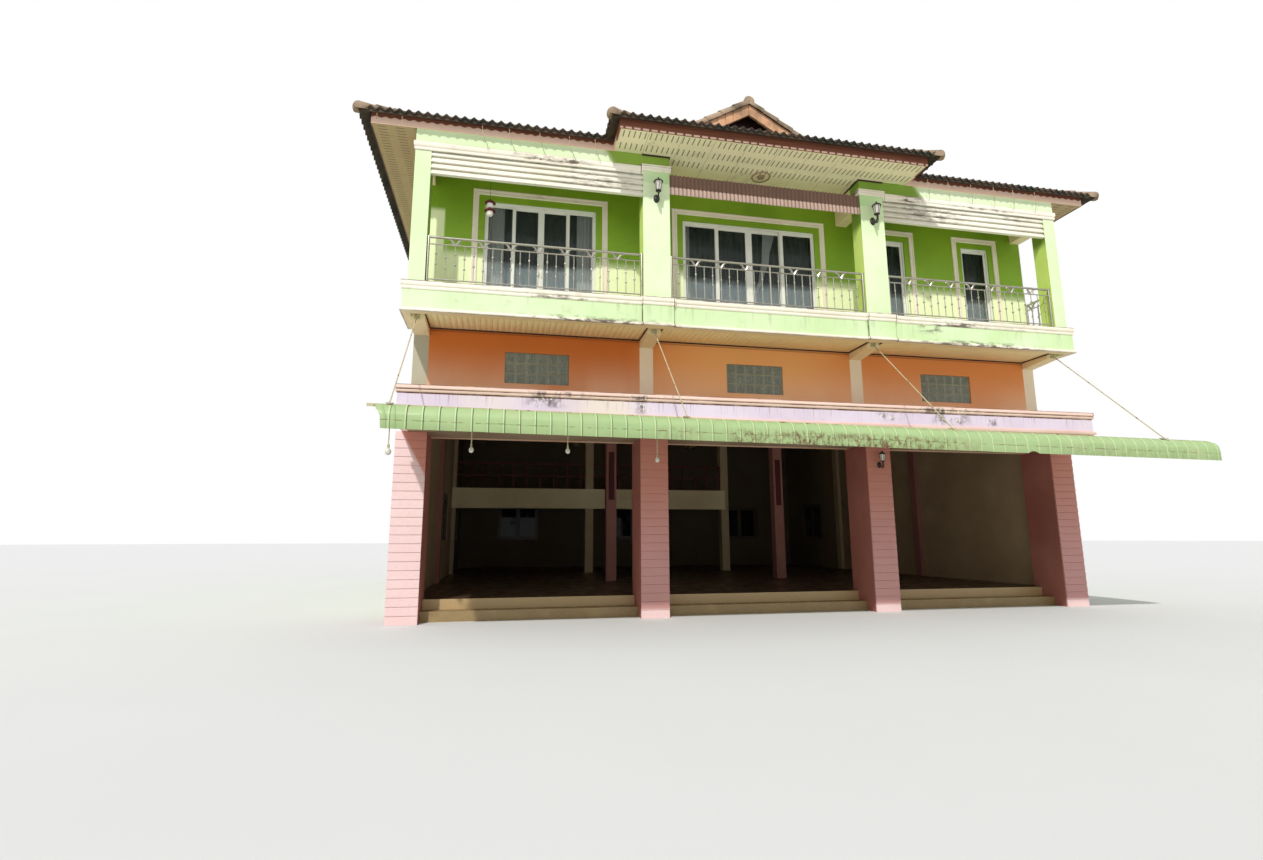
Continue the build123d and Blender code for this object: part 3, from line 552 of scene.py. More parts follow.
def parapet_paint():
    """Lilac paint below a pinkish moulding, with black streaks, peeled spots and cracks."""
    surface = Surface("parapet_paint", 0.78)
    lilac = surface.mix(
        surface.band(surface.noise(0.8, detail=5.0), 0.3, 0.7), tint(234, 218, 238), tint(220, 202, 224)
    )
    warm = surface.band(surface.noise(0.45, (1, 1, 1), 3.0, shift=(4.0, 0.0, 0.0)), 0.45, 0.65)
    lilac = surface.mix(warm, lilac, tint(236, 220, 214))
    pink = surface.mix(surface.noise(1.5, detail=6.0), tint(248, 218, 208), tint(230, 194, 182))
    low = parapet_top - 0.126
    colour = surface.mix(surface.band(surface.axes[2], low - 0.002, low + 0.002), lilac, pink)
    colour = surface.mix(surface.band(surface.axes[2], awning_root + 0.07, awning_root + 0.04), colour, pink)
    runs = surface.band(surface.noise(9.0, (2.4, 2.4, 0.1), 7.0, 0.66), 0.52, 0.72)
    fade_and_painted_light = surface.band(surface.axes[2], low - 0.26, low - 0.01, 0.0, 0.5)
    below = surface.band(surface.axes[2], low + 0.004, low - 0.004)
    runs = surface.times(surface.times(runs, fade_and_painted_light), below)
    colour = surface.mix(runs, colour, tint(126, 104, 112))
    groove = surface.near(2, low - 0.002, 0.016)
    groove = surface.maths("MAXIMUM", groove, surface.near(2, low + 0.054, 0.012))
    groove = surface.maths("MAXIMUM", groove, surface.near(2, parapet_top - 0.002, 0.009))
    stain = surface.band(surface.noise(6.0, (0.5, 1, 1), 8.0, 0.7), 0.36, 0.56, 0.4, 1.0)
    colour = surface.mix(surface.times(groove, stain), colour, tint(108, 54, 46))
    for centre, reach, height, rise in (
        (-4.05, 0.42, 3.44, 0.12), (-2.45, 0.22, 3.42, 0.16), (2.0, 0.32, 3.42, 0.1), (3.25, 0.5, 3.42, 0.16),
        (4.1, 0.16, 3.4, 0.16), (-3.9, 0.7, 3.56, 0.07), (-2.4, 0.5, 3.56, 0.07), (3.1, 0.9, 3.56, 0.07),
    ):
        spot = surface.times(surface.near(0, centre, reach), surface.near(2, height, rise))
        blotch = surface.band(surface.noise(7.0, (1, 1, 0.8), 8.0, 0.66), 0.44, 0.64, 0.0, 0.85)
        colour = surface.mix(surface.times(spot, blotch), colour, tint(84, 68, 66))
        flake = surface.band(surface.noise(16.0, detail=6.0, shift=(7.0, 0.0, 0.0)), 0.58, 0.62, 0.0, 0.8)
        colour = surface.mix(surface.times(spot, flake), colour, tint(242, 236, 224))
    surface.colour(colour)
    surface.bump(surface.noise(90.0, detail=3.0), 0.0012, 0.5)
    surface.bump(surface.noise(9.0, detail=4.0), 0.0036, 0.35)
    return surface.material


def fascia_paint():
    """Salmon boards with painted light: on the front eaves dark brown above a wavy line as the tiles' painted
    shadow and salmon below as painted sunlight, on the porch dark brown painted shade with sunlit dashes at
    the foot, and darker still at the ends as painted shade.
    """
    surface = Surface("fascia_paint", 0.6)
    grain = surface.noise(16.0, (0.12, 0.12, 3.0), 6.0, 0.6)
    # Painted shadow: the dark brown stands for the boards in the tiles' shadow.
    dark = surface.mix(surface.band(grain, 0.3, 0.7), tint(152, 94, 68), tint(122, 74, 54))
    pale = surface.mix(surface.noise(2.0, detail=6.0), tint(255, 226, 204), tint(250, 202, 176))
    # Painted shadow of the tiles' wavy edge on the front eaves, with painted sunlight below it.
    swing = surface.maths("SINE", surface.times(surface.axes[0], 2 * math.pi / wave_pitch))
    edge = surface.maths("ADD", surface.axes[2], surface.times(swing, 0.012))
    painted_sunlit_strip = surface.band(edge, 8.258, 8.246)
    front_only = surface.band(surface.axes[1], -6.8, -6.85)
    main = surface.mix(surface.times(painted_sunlit_strip, front_only), dark, pale)
    # Painted sunlight on the porch board: salmon dashes at its foot between the tiles' shadows.
    share = surface.maths("FRACT", surface.maths("DIVIDE", surface.axes[0], wave_pitch))
    painted_sun_dashes = surface.compare(share, 0.5, 0.36)
    foot = surface.times(surface.band(surface.axes[2], 8.178, 8.172), painted_sun_dashes)
    foot = surface.times(foot, surface.band(surface.facing[1], -0.6, -0.8))
    porch = surface.mix(foot, dark, pale)
    colour = surface.mix(surface.band(surface.axes[1], -7.2, -7.25), main, porch)
    # Painted shade: the ends are darker still.
    side = surface.band(surface.maths("ABSOLUTE", surface.axes[0]), 7.012, 7.02)
    colour = surface.mix(side, colour, tint(66, 46, 36))
    fade_and_painted_light = surface.band(surface.noise(1.6, detail=8.0, roughness=0.68), 0.56, 0.76, 0.0, 0.3)
    surface.colour(surface.mix(fade_and_painted_light, colour, tint(92, 64, 48)))
    surface.bump(grain, 0.002, 0.5)
    return surface.material


def dark_glass():
    """Dark window glass, darker still on the back wall's windows as painted shade."""
    surface = Surface("dark_glass", 0.06)
    film = surface.band(surface.noise(3.0, detail=7.0), 0.45, 0.8, 0.0, 0.3)
    colour = surface.mix(film, tint(46, 56, 54), tint(96, 100, 88))
    # Painted shade: the back wall's windows are darker.
    surface.colour(surface.mix(surface.band(surface.axes[1], 4.9, 5.1), colour, tint(26, 30, 28)))
    surface.shader.inputs["Specular IOR Level"].default_value = 0.15
    surface.shader.inputs["IOR"].default_value = 1.45
    surface.rough(surface.band(film, 0.0, 0.3, 0.04, 0.3))
    surface.bump(surface.noise(1.6, detail=2.0), 0.004, 0.25)
    return surface.material


def side_wall():
    """Pale green plaster outside and warm grey plaster inside, darkening towards the back as painted shade,
    with a line of grime near the ground.
    """
    surface = Surface("side_wall", 0.82)
    outside = surface.mix(
        surface.band(surface.noise(0.6, detail=5.0), 0.3, 0.7), tint(226, 240, 198), tint(206, 224, 172)
    )
    streaks = surface.band(surface.noise(3.0, (1.5, 1.5, 0.1), 6.0), 0.54, 0.76, 0.0, 0.5)
    outside = surface.mix(streaks, outside, tint(150, 152, 116))
    foot = surface.times(surface.band(surface.axes[2], 0.9, 0.2), surface.noise(4.0, detail=7.0))
    outside = surface.mix(foot, outside, tint(116, 104, 78))
    inside = surface.mix(surface.noise(1.2, detail=6.0), tint(200, 176, 138), tint(160, 134, 100))
    # Painted shade: the inside darkens towards the back of the house.
    painted_depth_shade = surface.band(surface.axes[1], 0.0, 4.5, 0.0, 0.8)
    inside = surface.mix(painted_depth_shade, inside, tint(64, 56, 44))
    reach_x = surface.maths("ABSOLUTE", surface.axes[0])
    inward_x = surface.band(reach_x, x_end + 0.055, x_end + 0.045)
    inward_y = surface.band(surface.axes[1], back - 0.055, back - 0.065)
    surface.colour(surface.mix(surface.times(inward_x, inward_y), outside, inside))
    surface.bump(surface.noise(80.0, detail=3.0), 0.0012, 0.5)
    surface.bump(surface.noise(7.0, detail=4.0), 0.004, 0.35)
    return surface.material


def orange_wall():
    """Orange plaster with painted light: lighter right of the left bay and in the middle, and pale pink low
    down near the canopy, with stains and a faint line near its top.
    """
    surface = Surface("orange_wall", 0.8)
    colour = surface.mix(surface.noise(0.8, detail=6.0), tint(222, 124, 46), tint(200, 106, 36))
    # Painted light: lighter right of the left bay, and lighter still in the middle.
    painted_light_right = surface.band(surface.axes[0], -2.6, -1.6, 0.0, 0.6)
    colour = surface.mix(painted_light_right, colour, tint(250, 166, 96))
    middle = surface.times(surface.near(0, 0.0, 2.6), 0.6)
    colour = surface.mix(middle, colour, tint(255, 196, 122))
    # Painted light: pale pink low down, above the canopy.
    fade_and_painted_light = surface.times(surface.band(surface.axes[2], 4.75, 3.3), surface.noise(0.8, (1, 1, 0.5), 4.0))
    colour = surface.mix(surface.times(fade_and_painted_light, 1.8), colour, tint(252, 212, 176))
    stain = surface.band(surface.noise(2.6, (1, 1, 0.6), 9.0, 0.68), 0.6, 0.78, 0.0, 0.2)
    colour = surface.mix(stain, colour, tint(150, 86, 44))
    line = surface.near(2, 4.905, 0.02)
    colour = surface.mix(surface.times(line, 0.5), colour, tint(120, 70, 36))
    surface.colour(colour)
    surface.bump(surface.noise(80.0, detail=3.0), 0.0012, 0.5)
    surface.bump(surface.noise(6.0, detail=5.0), 0.005, 0.4)
    return surface.material


def terrazzo():
    """Ground stone chips in brown-grey cement, worn and dusty."""
    surface = Surface("terrazzo", 0.42)
    chips = surface.node("ShaderNodeTexVoronoi", surface.place)
    chips.inputs["Scale"].default_value = 130.0
    speck = surface.band(chips.outputs["Distance"], 0.22, 0.34)
    stone = surface.mix(
        surface.band(surface.noise(160.0, detail=1.0), 0.4, 0.6), tint(206, 182, 136), tint(104, 82, 56)
    )
    colour = surface.mix(speck, stone, tint(146, 122, 82))
    dust = surface.band(surface.noise(2.4, detail=8.0, roughness=0.65), 0.46, 0.74, 0.0, 0.6)
    surface.colour(surface.mix(dust, colour, tint(176, 154, 108)))
    surface.rough(surface.band(surface.noise(3.0, detail=6.0), 0.3, 0.7, 0.3, 0.62))
    surface.bump(chips.outputs["Distance"], 0.0008, 0.25)
    return surface.material


def floor_tile():
    """Dark polished floor tiles of 0.4 m with pale joints."""
    surface = Surface("floor_tile", 0.22)
    tile = 0.4
    line = None
    for axis in (0, 1):
        step = surface.maths("DIVIDE", surface.axes[axis], tile)
        offset = surface.maths("ABSOLUTE", surface.maths("SUBTRACT", surface.maths("FRACT", step), 0.5))
        edge = surface.band(offset, 0.49, 0.495)
        line = edge if line is None else surface.maths("MAXIMUM", line, edge)
    shade = surface.mix(surface.noise(2.5, detail=9.0, roughness=0.7), tint(92, 66, 50), tint(58, 42, 34))
    vein = surface.band(surface.noise(12.0, (1, 2.2, 1), 9.0, 0.75), 0.55, 0.65, 0.0, 0.4)
    shade = surface.mix(vein, shade, tint(134, 108, 84))
    colour = surface.mix(line, shade, tint(150, 138, 118))
    riser = surface.mix(surface.noise(30.0, detail=6.0), tint(204, 176, 126), tint(176, 148, 104))
    upright = surface.band(surface.maths("ABSOLUTE", surface.facing[2]), 0.6, 0.4)
    surface.colour(surface.mix(upright, colour, riser))
    surface.rough(surface.band(surface.noise(4.0, detail=7.0), 0.35, 0.7, 0.3, 0.5))
    surface.bump(surface.maths("SUBTRACT", 1.0, line), 0.002, 0.6)
    return surface.material


def pink_board():
    """Pink boards with painted light: redder high up as painted shade, and pale where the sun reaches them as
    painted sunlight.
    """
    surface = Surface("pink_board", 0.5)
    # Painted shade: redder and darker high up.
    colour = surface.mix(surface.band(surface.axes[2], 2.9, 0.4), tint(200, 126, 104), tint(206, 152, 148))
    cloud = surface.band(surface.noise(1.4, detail=5.0), 0.35, 0.65, 0.0, 0.3)
    colour = surface.mix(cloud, colour, tint(188, 134, 124))
    # Painted sunlight on the left pillar below the canopy's shadow, and on every pillar's foot.
    slant = surface.maths("ADD", surface.axes[0], surface.times(surface.axes[2], 0.55))
    painted_sunlit_pink = surface.times(surface.band(slant, -4.61, -4.67), surface.band(surface.axes[0], -5.8, -5.85))
    painted_sunlit_pink = surface.maths("MAXIMUM", painted_sunlit_pink, surface.band(surface.axes[2], 0.155, 0.14))
    colour = surface.mix(
        painted_sunlit_pink, colour, surface.mix(surface.noise(1.4, detail=5.0), tint(242, 214, 212), tint(230, 196, 194))
    )
    grain = surface.band(surface.noise(14.0, (1, 1, 12.0), 6.0, 0.6), 0.4, 0.7, 0.0, 0.3)
    colour = surface.mix(grain, colour, tint(202, 146, 140))
    stain = surface.band(surface.noise(3.2, (1, 1, 0.4), 8.0, 0.66), 0.6, 0.78, 0.0, 0.3)
    surface.colour(surface.mix(stain, colour, tint(176, 136, 112)))
    surface.bump(surface.noise(24.0, (1, 1, 10.0), 5.0), 0.0012, 0.5)
    return surface.material


def glass_block():
    """Thick grey-green glass with a soft sheen, cloudy within each block."""
    surface = Surface("glass_block", 0.16)
    colour = surface.mix(surface.noise(7.0, detail=5.0), tint(132, 142, 122), tint(98, 106, 92))
    spot = surface.band(surface.noise(22.0, detail=6.0), 0.5, 0.7, 0.0, 0.5)
    surface.colour(surface.mix(spot, colour, tint(172, 174, 150)))
    surface.shader.inputs["IOR"].default_value = 1.5
    surface.shader.inputs["Coat Weight"].default_value = 0.5
    surface.bump(surface.noise(30.0, detail=2.0), 0.002, 0.4)
    return surface.material


def awning_sheet():
    """Light green coated sheet with a painted highlight along each seam and a painted shadow beside it, dirty
    along the nose and rusty brown low in the middle.
    """
    surface = Surface("awning_sheet", 0.42)
    colour = surface.mix(surface.noise(0.9, detail=4.0), tint(172, 196, 140), tint(152, 180, 120))
    dust = surface.band(surface.noise(2.2, (1, 1, 1), 8.0, 0.66), 0.48, 0.78, 0.0, 0.45)
    colour = surface.mix(dust, colour, tint(182, 186, 142))
    # Painted light on the raised seams: a pale highlight on each and a dark shadow line beside it.
    share = surface.maths("DIVIDE", surface.maths("SUBTRACT", surface.axes[0], awning_x + 0.11), rib_pitch)
    share = surface.maths("FRACT", surface.maths("ADD", share, 0.5))
    seam = surface.compare(share, 0.5, 0.05)
    colour = surface.mix(surface.times(seam, 0.45), colour, tint(216, 230, 182))
    edge = surface.compare(share, 0.58, 0.03)
    colour = surface.mix(surface.times(edge, 0.8), colour, tint(78, 98, 58))
    fall = surface.times(
        surface.maths("SUBTRACT", surface.axes[0], awning_x), awning_fall / (awning_end - awning_x)
    )
    height = surface.maths("ADD", surface.axes[2], fall)
    wobble = surface.times(surface.noise(6.0, detail=6.0), 0.03)
    level = surface.maths("ADD", height, wobble)
    line = surface.compare(level, awning_foot + 0.135, 0.007)
    broken = surface.band(surface.noise(14.0, detail=6.0), 0.42, 0.6, 0.0, 0.75)
    colour = surface.mix(surface.times(line, broken), colour, tint(112, 104, 62))
    nose = surface.band(height, awning_foot + 0.13, awning_foot, 0.0, 0.35)
    colour = surface.mix(surface.times(nose, surface.noise(3.0, (1, 3, 3), 7.0)), colour, tint(126, 136, 88))
    face = surface.band(height, awning_foot + 0.24, awning_foot + 0.12)
    run = surface.band(surface.noise(9.0, (1.6, 0.8, 0.9), 9.0, 0.78), 0.45, 0.6)
    for centre, reach, strength in (
        (0.5, 2.4, 1.0), (-1.3, 0.4, 0.9), (-0.4, 0.5, 0.8), (-2.3, 0.5, 0.35), (5.2, 2.6, 0.25)
    ):
        patch = surface.times(surface.near(0, centre, reach), strength)
        patch = surface.times(surface.times(patch, face), run)
        colour = surface.mix(patch, colour, tint(104, 70, 40))
    surface.colour(colour)
    surface.rough(surface.band(surface.noise(3.0, detail=6.0), 0.3, 0.75, 0.34, 0.62))
    surface.bump(surface.noise(6.0, (1, 1, 1), 3.0), 0.004, 0.35)
    return surface.material


def rusted_paint():
    """Cream paint on steel, worn to brown rust in patches and along lines."""
    surface = Surface("steel_paint", 0.55)
    colour = surface.mix(surface.noise(2.0, detail=4.0), tint(206, 196, 160), tint(184, 172, 134))
    rust = surface.band(surface.noise(7.0, detail=9.0, roughness=0.7), 0.53, 0.64, 0.0, 0.9)
    brown = surface.mix(surface.noise(26.0, detail=5.0), tint(126, 74, 40), tint(84, 46, 28))
    surface.colour(surface.mix(rust, colour, brown))
    surface.rough(surface.band(rust, 0.0, 0.9, 0.45, 0.85))
    surface.bump(surface.noise(60.0, detail=5.0), 0.001, 0.6)
    return surface.material


def brushed_steel():
    """Brushed stainless steel with fine lengthwise lines and dull spots."""
    surface = Surface("stainless", 0.3, 0.95)
    dull = surface.band(surface.noise(6.0, detail=7.0), 0.5, 0.75, 0.0, 0.55)
    surface.colour(surface.mix(dull, tint(176, 172, 160), tint(132, 126, 110)))
    lines = surface.noise(60.0, (14.0, 14.0, 0.6), 3.0)
    surface.rough(surface.band(lines, 0.3, 0.7, 0.22, 0.4))
    surface.bump(lines, 0.0003, 0.3)
    return surface.material


def clear_glass():
    """Tinted window glass that lets light through, lighter below about 6.3 m as painted sunlight."""
    surface = Surface("door_glass", 0.05)
    film = surface.band(surface.noise(3.0, detail=7.0), 0.45, 0.8, 0.0, 0.25)
    colour = surface.mix(film, tint(40, 52, 46), tint(110, 112, 98))
    # Painted sunlight: lighter low on each pane, where the sun reaches below the shades.
    painted_sunlit_glass = surface.band(surface.axes[2], 6.34, 6.26, 0.0, 0.7)
    surface.colour(surface.mix(painted_sunlit_glass, colour, tint(168, 180, 182)))
    surface.shader.inputs["Alpha"].default_value = 0.3
    surface.shader.inputs["IOR"].default_value = 1.45
    surface.rough(surface.band(film, 0.0, 0.25, 0.03, 0.2))
    surface.bump(surface.noise(1.6, detail=2.0), 0.004, 0.25)
    return surface.material


def soffit_board():
    """Cream eaves boards 0.6 m wide with rows of narrow vent slots, stained brown in places, and khaki at the
    two ends as painted shade.
    """
    surface = Surface("soffit_board", 0.7)
    colour = surface.mix(surface.noise(1.0, detail=6.0), tint(255, 246, 212), tint(242, 228, 188))
    stain = surface.band(surface.noise(1.8, detail=9.0, roughness=0.7), 0.55, 0.72, 0.0, 0.4)
    colour = surface.mix(stain, colour, tint(122, 96, 58))
    along_x, along_y = surface.axes[0], surface.axes[1]
    out_x = surface.maths("ABSOLUTE", along_x)
    # Painted shade: the soffits at the two ends are khaki.
    painted_side_shade = surface.mix(surface.noise(1.4, detail=6.0), tint(184, 160, 116), tint(164, 140, 98))
    colour = surface.mix(surface.band(out_x, 6.28, 6.32), colour, painted_side_shade)

    def repeat(axis, pitch, half):
        share = surface.maths("FRACT", surface.maths("DIVIDE", axis, pitch))
        return surface.compare(share, 0.5, half)

    def rows(axis, places, half):
        total = None
        for place in places:
            row = surface.compare(axis, place, half)
            total = row if total is None else surface.maths("MAXIMUM", total, row)
        return total

    front_rows = surface.times(
        rows(along_y, (-7.44, -7.1, -6.77, 6.3, 6.6), 0.09), repeat(along_x, 0.096, 0.1)
    )
    front_rows = surface.times(front_rows, repeat(along_x, 1.2, 0.47))
    front_rows = surface.times(front_rows, surface.band(out_x, 6.3, 6.29))
    side_rows = surface.times(rows(out_x, (6.565, 6.86), 0.07), repeat(along_y, 0.08, 0.11))
    side_rows = surface.times(side_rows, repeat(along_y, 1.2, 0.47))
    slot = surface.maths("MAXIMUM", front_rows, side_rows)
    joint_x = surface.maths("SUBTRACT", 1.0, repeat(along_x, 0.6, 0.495))
    joint = surface.times(joint_x, surface.band(out_x, 6.3, 6.29))
    joint_y = surface.maths("SUBTRACT", 1.0, repeat(along_y, 0.6, 0.495))
    joint = surface.maths("MAXIMUM", joint, surface.times(joint_y, surface.band(out_x, 6.29, 6.3)))
    colour = surface.mix(surface.times(joint, 0.6), colour, tint(110, 92, 62))
    surface.colour(surface.mix(surface.times(slot, 0.8), colour, tint(84, 78, 46)))
    surface.bump(surface.noise(50.0, detail=4.0), 0.0008, 0.5)
    surface.bump(surface.maths("SUBTRACT", 1.0, surface.maths("MAXIMUM", joint, slot)), 0.004, 0.8)
    return surface.material


def stained_timber(name, light, dark, dirt):
    """Painted timber with long grain, faded and dirty."""
    surface = Surface(name, 0.55)
    grain = surface.noise(16.0, (0.12, 0.12, 3.0), 6.0, 0.6)
    colour = surface.mix(surface.band(grain, 0.3, 0.7), light, dark)
    fade_and_painted_light = surface.band(surface.noise(1.6, detail=8.0, roughness=0.68), 0.52, 0.76, 0.0, 0.6)
    surface.colour(surface.mix(fade_and_painted_light, colour, dirt))
    surface.bump(grain, 0.002, 0.5)
    surface.bump(surface.noise(70.0, (0.2, 0.2, 4.0), 4.0), 0.0006, 0.5)
    return surface.material


def mossy_tile(name, light, dark, moss):
    """Fired clay tile, each one a little different, with moss, soot and pale lichen."""
    surface = Surface(name, 0.82)
    colour = surface.mix(surface.band(surface.noise(2.2, detail=3.0), 0.35, 0.65), light, dark)
    growth = surface.band(surface.noise(1.1, detail=9.0, roughness=0.7), 0.46, 0.66, 0.0, 0.85)
    colour = surface.mix(growth, colour, moss)
    lichen = surface.band(surface.noise(16.0, detail=8.0, roughness=0.7), 0.62, 0.7, 0.0, 0.55)
    surface.colour(surface.mix(lichen, colour, tint(158, 150, 122)))
    surface.bump(surface.noise(45.0, detail=6.0), 0.003, 0.6)
    return surface.material


def lamp_metal():
    """Black painted metal, chipped to bare grey."""
    surface = Surface("lamp_metal", 0.45, 0.4)
    chips = surface.band(surface.noise(30.0, detail=6.0), 0.6, 0.66, 0.0, 0.7)
    surface.colour(surface.mix(chips, tint(52, 48, 46), tint(120, 104, 84)))
    surface.bump(surface.noise(60.0, detail=4.0), 0.0006, 0.5)
    return surface.material


def lamp_glass():
    """Dusty white lamp glass."""
    surface = Surface("lamp_glass", 0.3)
    dust = surface.band(surface.noise(24.0, detail=6.0), 0.45, 0.75, 0.0, 0.5)
    surface.colour(surface.mix(dust, tint(240, 238, 226), tint(196, 188, 162)))
    surface.shader.inputs["Transmission Weight"].default_value = 0.25
    surface.bump(surface.noise(40.0, detail=2.0), 0.0005, 0.4)
    return surface.material


def cloth(name, light, dark, shaded=None):
    """Thin curtain cloth with a fine weave, and painted shade: a darker colour high up where the shades keep
    the sun off.
    """
    surface = Surface(name, 0.9)
    colour = surface.mix(surface.noise(1.5, detail=5.0), light, dark)
    if shaded:
        # Painted shade above about 6.3 m.
        colour = surface.mix(surface.band(surface.axes[2], 6.28, 6.36), colour, shaded)
    weave = surface.noise(400.0, (1, 1, 0.4), 2.0)
    surface.colour(surface.mix(surface.band(weave, 0.4, 0.7, 0.0, 0.25), colour, dark))
    surface.shader.inputs["Sheen Weight"].default_value = 0.3
    surface.bump(weave, 0.0006, 0.5)
    return surface.material


materials = make_materials()


def dress(finish, *nodes):
    """Give CAD nodes a finish."""
    for node in nodes:
        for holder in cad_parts[node].material_slots:
            holder.material = materials[finish]


def dress_nodes():
    """Finishes of the nodes that keep their own shape."""
    dress("pale_green", "balcony_spandrel")
    dress("pillar_green", "upper_pillars", "upper_beams")
    dress("side_wall", "left_wall", "right_wall", "back_wall")
    dress("lime", "upper_front_wall")
    dress("white_moulding", "balcony_mouldings", "pillar_caps", "door_surrounds")
    dress("cream", "cross_beams", "upper_floor", "upper_floor_beams", "balcony_beams")
    dress("inner_column", "inner_columns")
    dress("cream", "mezzanine_floor")
    dress("lilac", "canopy")
    dress("grey_column", "front_columns")
    dress("orange", "front_wall_band")
    dress("terrazzo", "front_step")
    dress("floor_tile", "floor_plinth")
    dress("pink_board", "ground_corner_pillars", "ground_middle_pillars")
    dress("glass_block", "glass_block_windows")
    dress("awning", "awning_sheet")
    dress("steel_paint", "awning_frame", "tie_rods")
    dress("stainless", "front_railings", "side_railings")
    dress("white_sheet", "sunshades")
    dress("blind", "centre_blind")
    dress("door_paint", "left_balcony_door", "middle_balcony_door", "right_balcony_doors")
    dress("window_frame", "window_frames")
    dress("door_glass", "balcony_door_glass")
    dress("dark_glass", "window_glass")
    dress("soffit", "eaves_soffit")
    dress("dark_timber", "gablet_wall")
    dress("porch_fascia", "fascia_boards")
    dress("red_timber", "mezzanine_balustrade")
    dress("roof_tile", "main_roof", "porch_roof")
    dress("ridge_tile", "ridge_and_verge_tiles")
    dress("lamp_metal", "lamps")


# Roof

surface_base = roof_base + tile_drop
wave_height = 0.03
course = 0.33 * math.cos(math.radians(30.5))


def tiled_slope(bm, corner, along, inward, width, depth, cuts):
    """Courses of wavy tiles up one slope from its edge, cut along upright planes."""
    sheet = bmesh.new()
    across = Vector(along)
    up = Vector(inward)
    columns = round(width / wave_pitch) * 8
    rows = [(-0.035, -0.012), (-0.035, 0.0)]
    distance = 0.0
    while distance < depth:
        after = min(distance + course, depth)
        rows += [(distance - 0.02 if distance else 0.0, 0.014), (after - 0.02, 0.0)]
        distance = after
    points = []
    for number, (distance, raised) in enumerate(rows):
        row = []
        for column in range(columns + 1):
            far = width * column / columns
            wave = (1 - math.cos(2 * math.pi * far / wave_pitch)) / 2
            lip = number < 2
            height = 0.004 + wave_height * wave + raised
            if lip:
                height = -0.03 + 0.07 * wave + raised
            place = Vector(corner) + across * far + up * distance
            row.append((place.x, place.y, surface_base + slope * max(distance, 0.0) + height))
        points.append(row)
    under = [(x, y, surface_base - 0.02 + 0.01) for x, y, z in points[2]]
    add_grid(sheet, [under] + points)
    for point, away in cuts:
        geometry = sheet.verts[:] + sheet.edges[:] + sheet.faces[:]
        bmesh.ops.bisect_plane(sheet, geom=geometry, plane_co=point, plane_no=away, clear_outer=True)
    mesh = bpy.data.meshes.new("slope")
    sheet.to_mesh(mesh)
    sheet.free()
    bm.from_mesh(mesh)
    bpy.data.meshes.remove(mesh)


def main_tiles():
    """Tiles of the four slopes of the main roof, one piece for each slope."""
    half_depth = (roof_back - roof_front) / 2
    reach = half_depth - 0.06
    hips = {
        "front_left": ((-roof_x, roof_front, 0), (-1, 1, 0)),
        "front_right": ((roof_x, roof_front, 0), (1, 1, 0)),
    }
    bm = bmesh.new()
    valley = ((-porch_half, roof_front, 0), (1, -1, 0))
    seam = ((0.0, 0.0, 0.0), (1, 0, 0))
    tiled_slope(bm, (-roof_x - 0.035, roof_front, 0), (1, 0, 0), (0, 1, 0), roof_x + 0.035, reach,
                [hips["front_left"], valley, seam])
    other = bmesh.new()
    valley = ((porch_half, roof_front, 0), (-1, -1, 0))
    tiled_slope(other, (roof_x + 0.035, roof_front, 0), (-1, 0, 0), (0, 1, 0), roof_x + 0.035, reach,
                [hips["front_right"], valley])
    mesh = bpy.data.meshes.new("half")
    other.to_mesh(mesh)
    other.free()
    bm.from_mesh(mesh)
    bpy.data.meshes.remove(mesh)
    piece("roof_tiles_front", bm, materials["roof_tile"], degrees=50)
    bm = bmesh.new()
    tiled_slope(bm, (roof_x + 0.035, roof_back, 0), (-1, 0, 0), (0, -1, 0), 2 * roof_x + 0.07, reach,
                [((-roof_x, roof_back, 0), (-1, -1, 0)), ((roof_x, roof_back, 0), (1, -1, 0))])
    piece("roof_tiles_back", bm, materials["roof_tile"], degrees=50)
    for name, side in (("left", -1), ("right", 1)):
        bm = bmesh.new()
        tiled_slope(bm, (side * roof_x, roof_front - 0.035, 0), (0, 1, 0), (-side, 0, 0),
                    2 * half_depth + 0.07, reach,
                    [
                        ((side * roof_x, roof_front, 0), (-side, -1, 0)),
                        ((side * roof_x, roof_back, 0), (-side, 1, 0))
                    ])
        piece("roof_tiles_" + name, bm, materials["roof_tile"], degrees=50)


def porch_tiles():
    """Tiles of the porch roof: a hip in front and a slope on each side, which run back into the main roof."""
    bm = bmesh.new()
    tiled_slope(bm, (-porch_half - 0.035, porch_edge, 0), (1, 0, 0), (0, 1, 0), 2 * porch_half + 0.07,
                verge - porch_edge + 0.3,
                [((-porch_half, porch_edge, 0), (-1, 1, 0)), ((porch_half, porch_edge, 0), (1, 1, 0))])
    for side in (-1, 1):
        low = (side * porch_half, porch_edge - 0.035, 0)
        depth = porch_half - 0.06
        length = 4.0
        hip = ((side * porch_half, porch_edge, 0), (-side, -1, 0))
        valley = ((side * porch_half, roof_front, 0), (side, 1, 0))
        tiled_slope(
            bm, low, (0, 1, 0), (-side, 0, 0), length, depth, [hip, valley, ((0, verge, 0), (0, 1, 0))]
        )
        tiled_slope(bm, low, (0, 1, 0), (-side, 0, 0), length, depth, [valley, ((0, verge, 0), (0, -1, 0))])
    piece("porch_roof_tiles", bm, materials["roof_tile"], degrees=50)


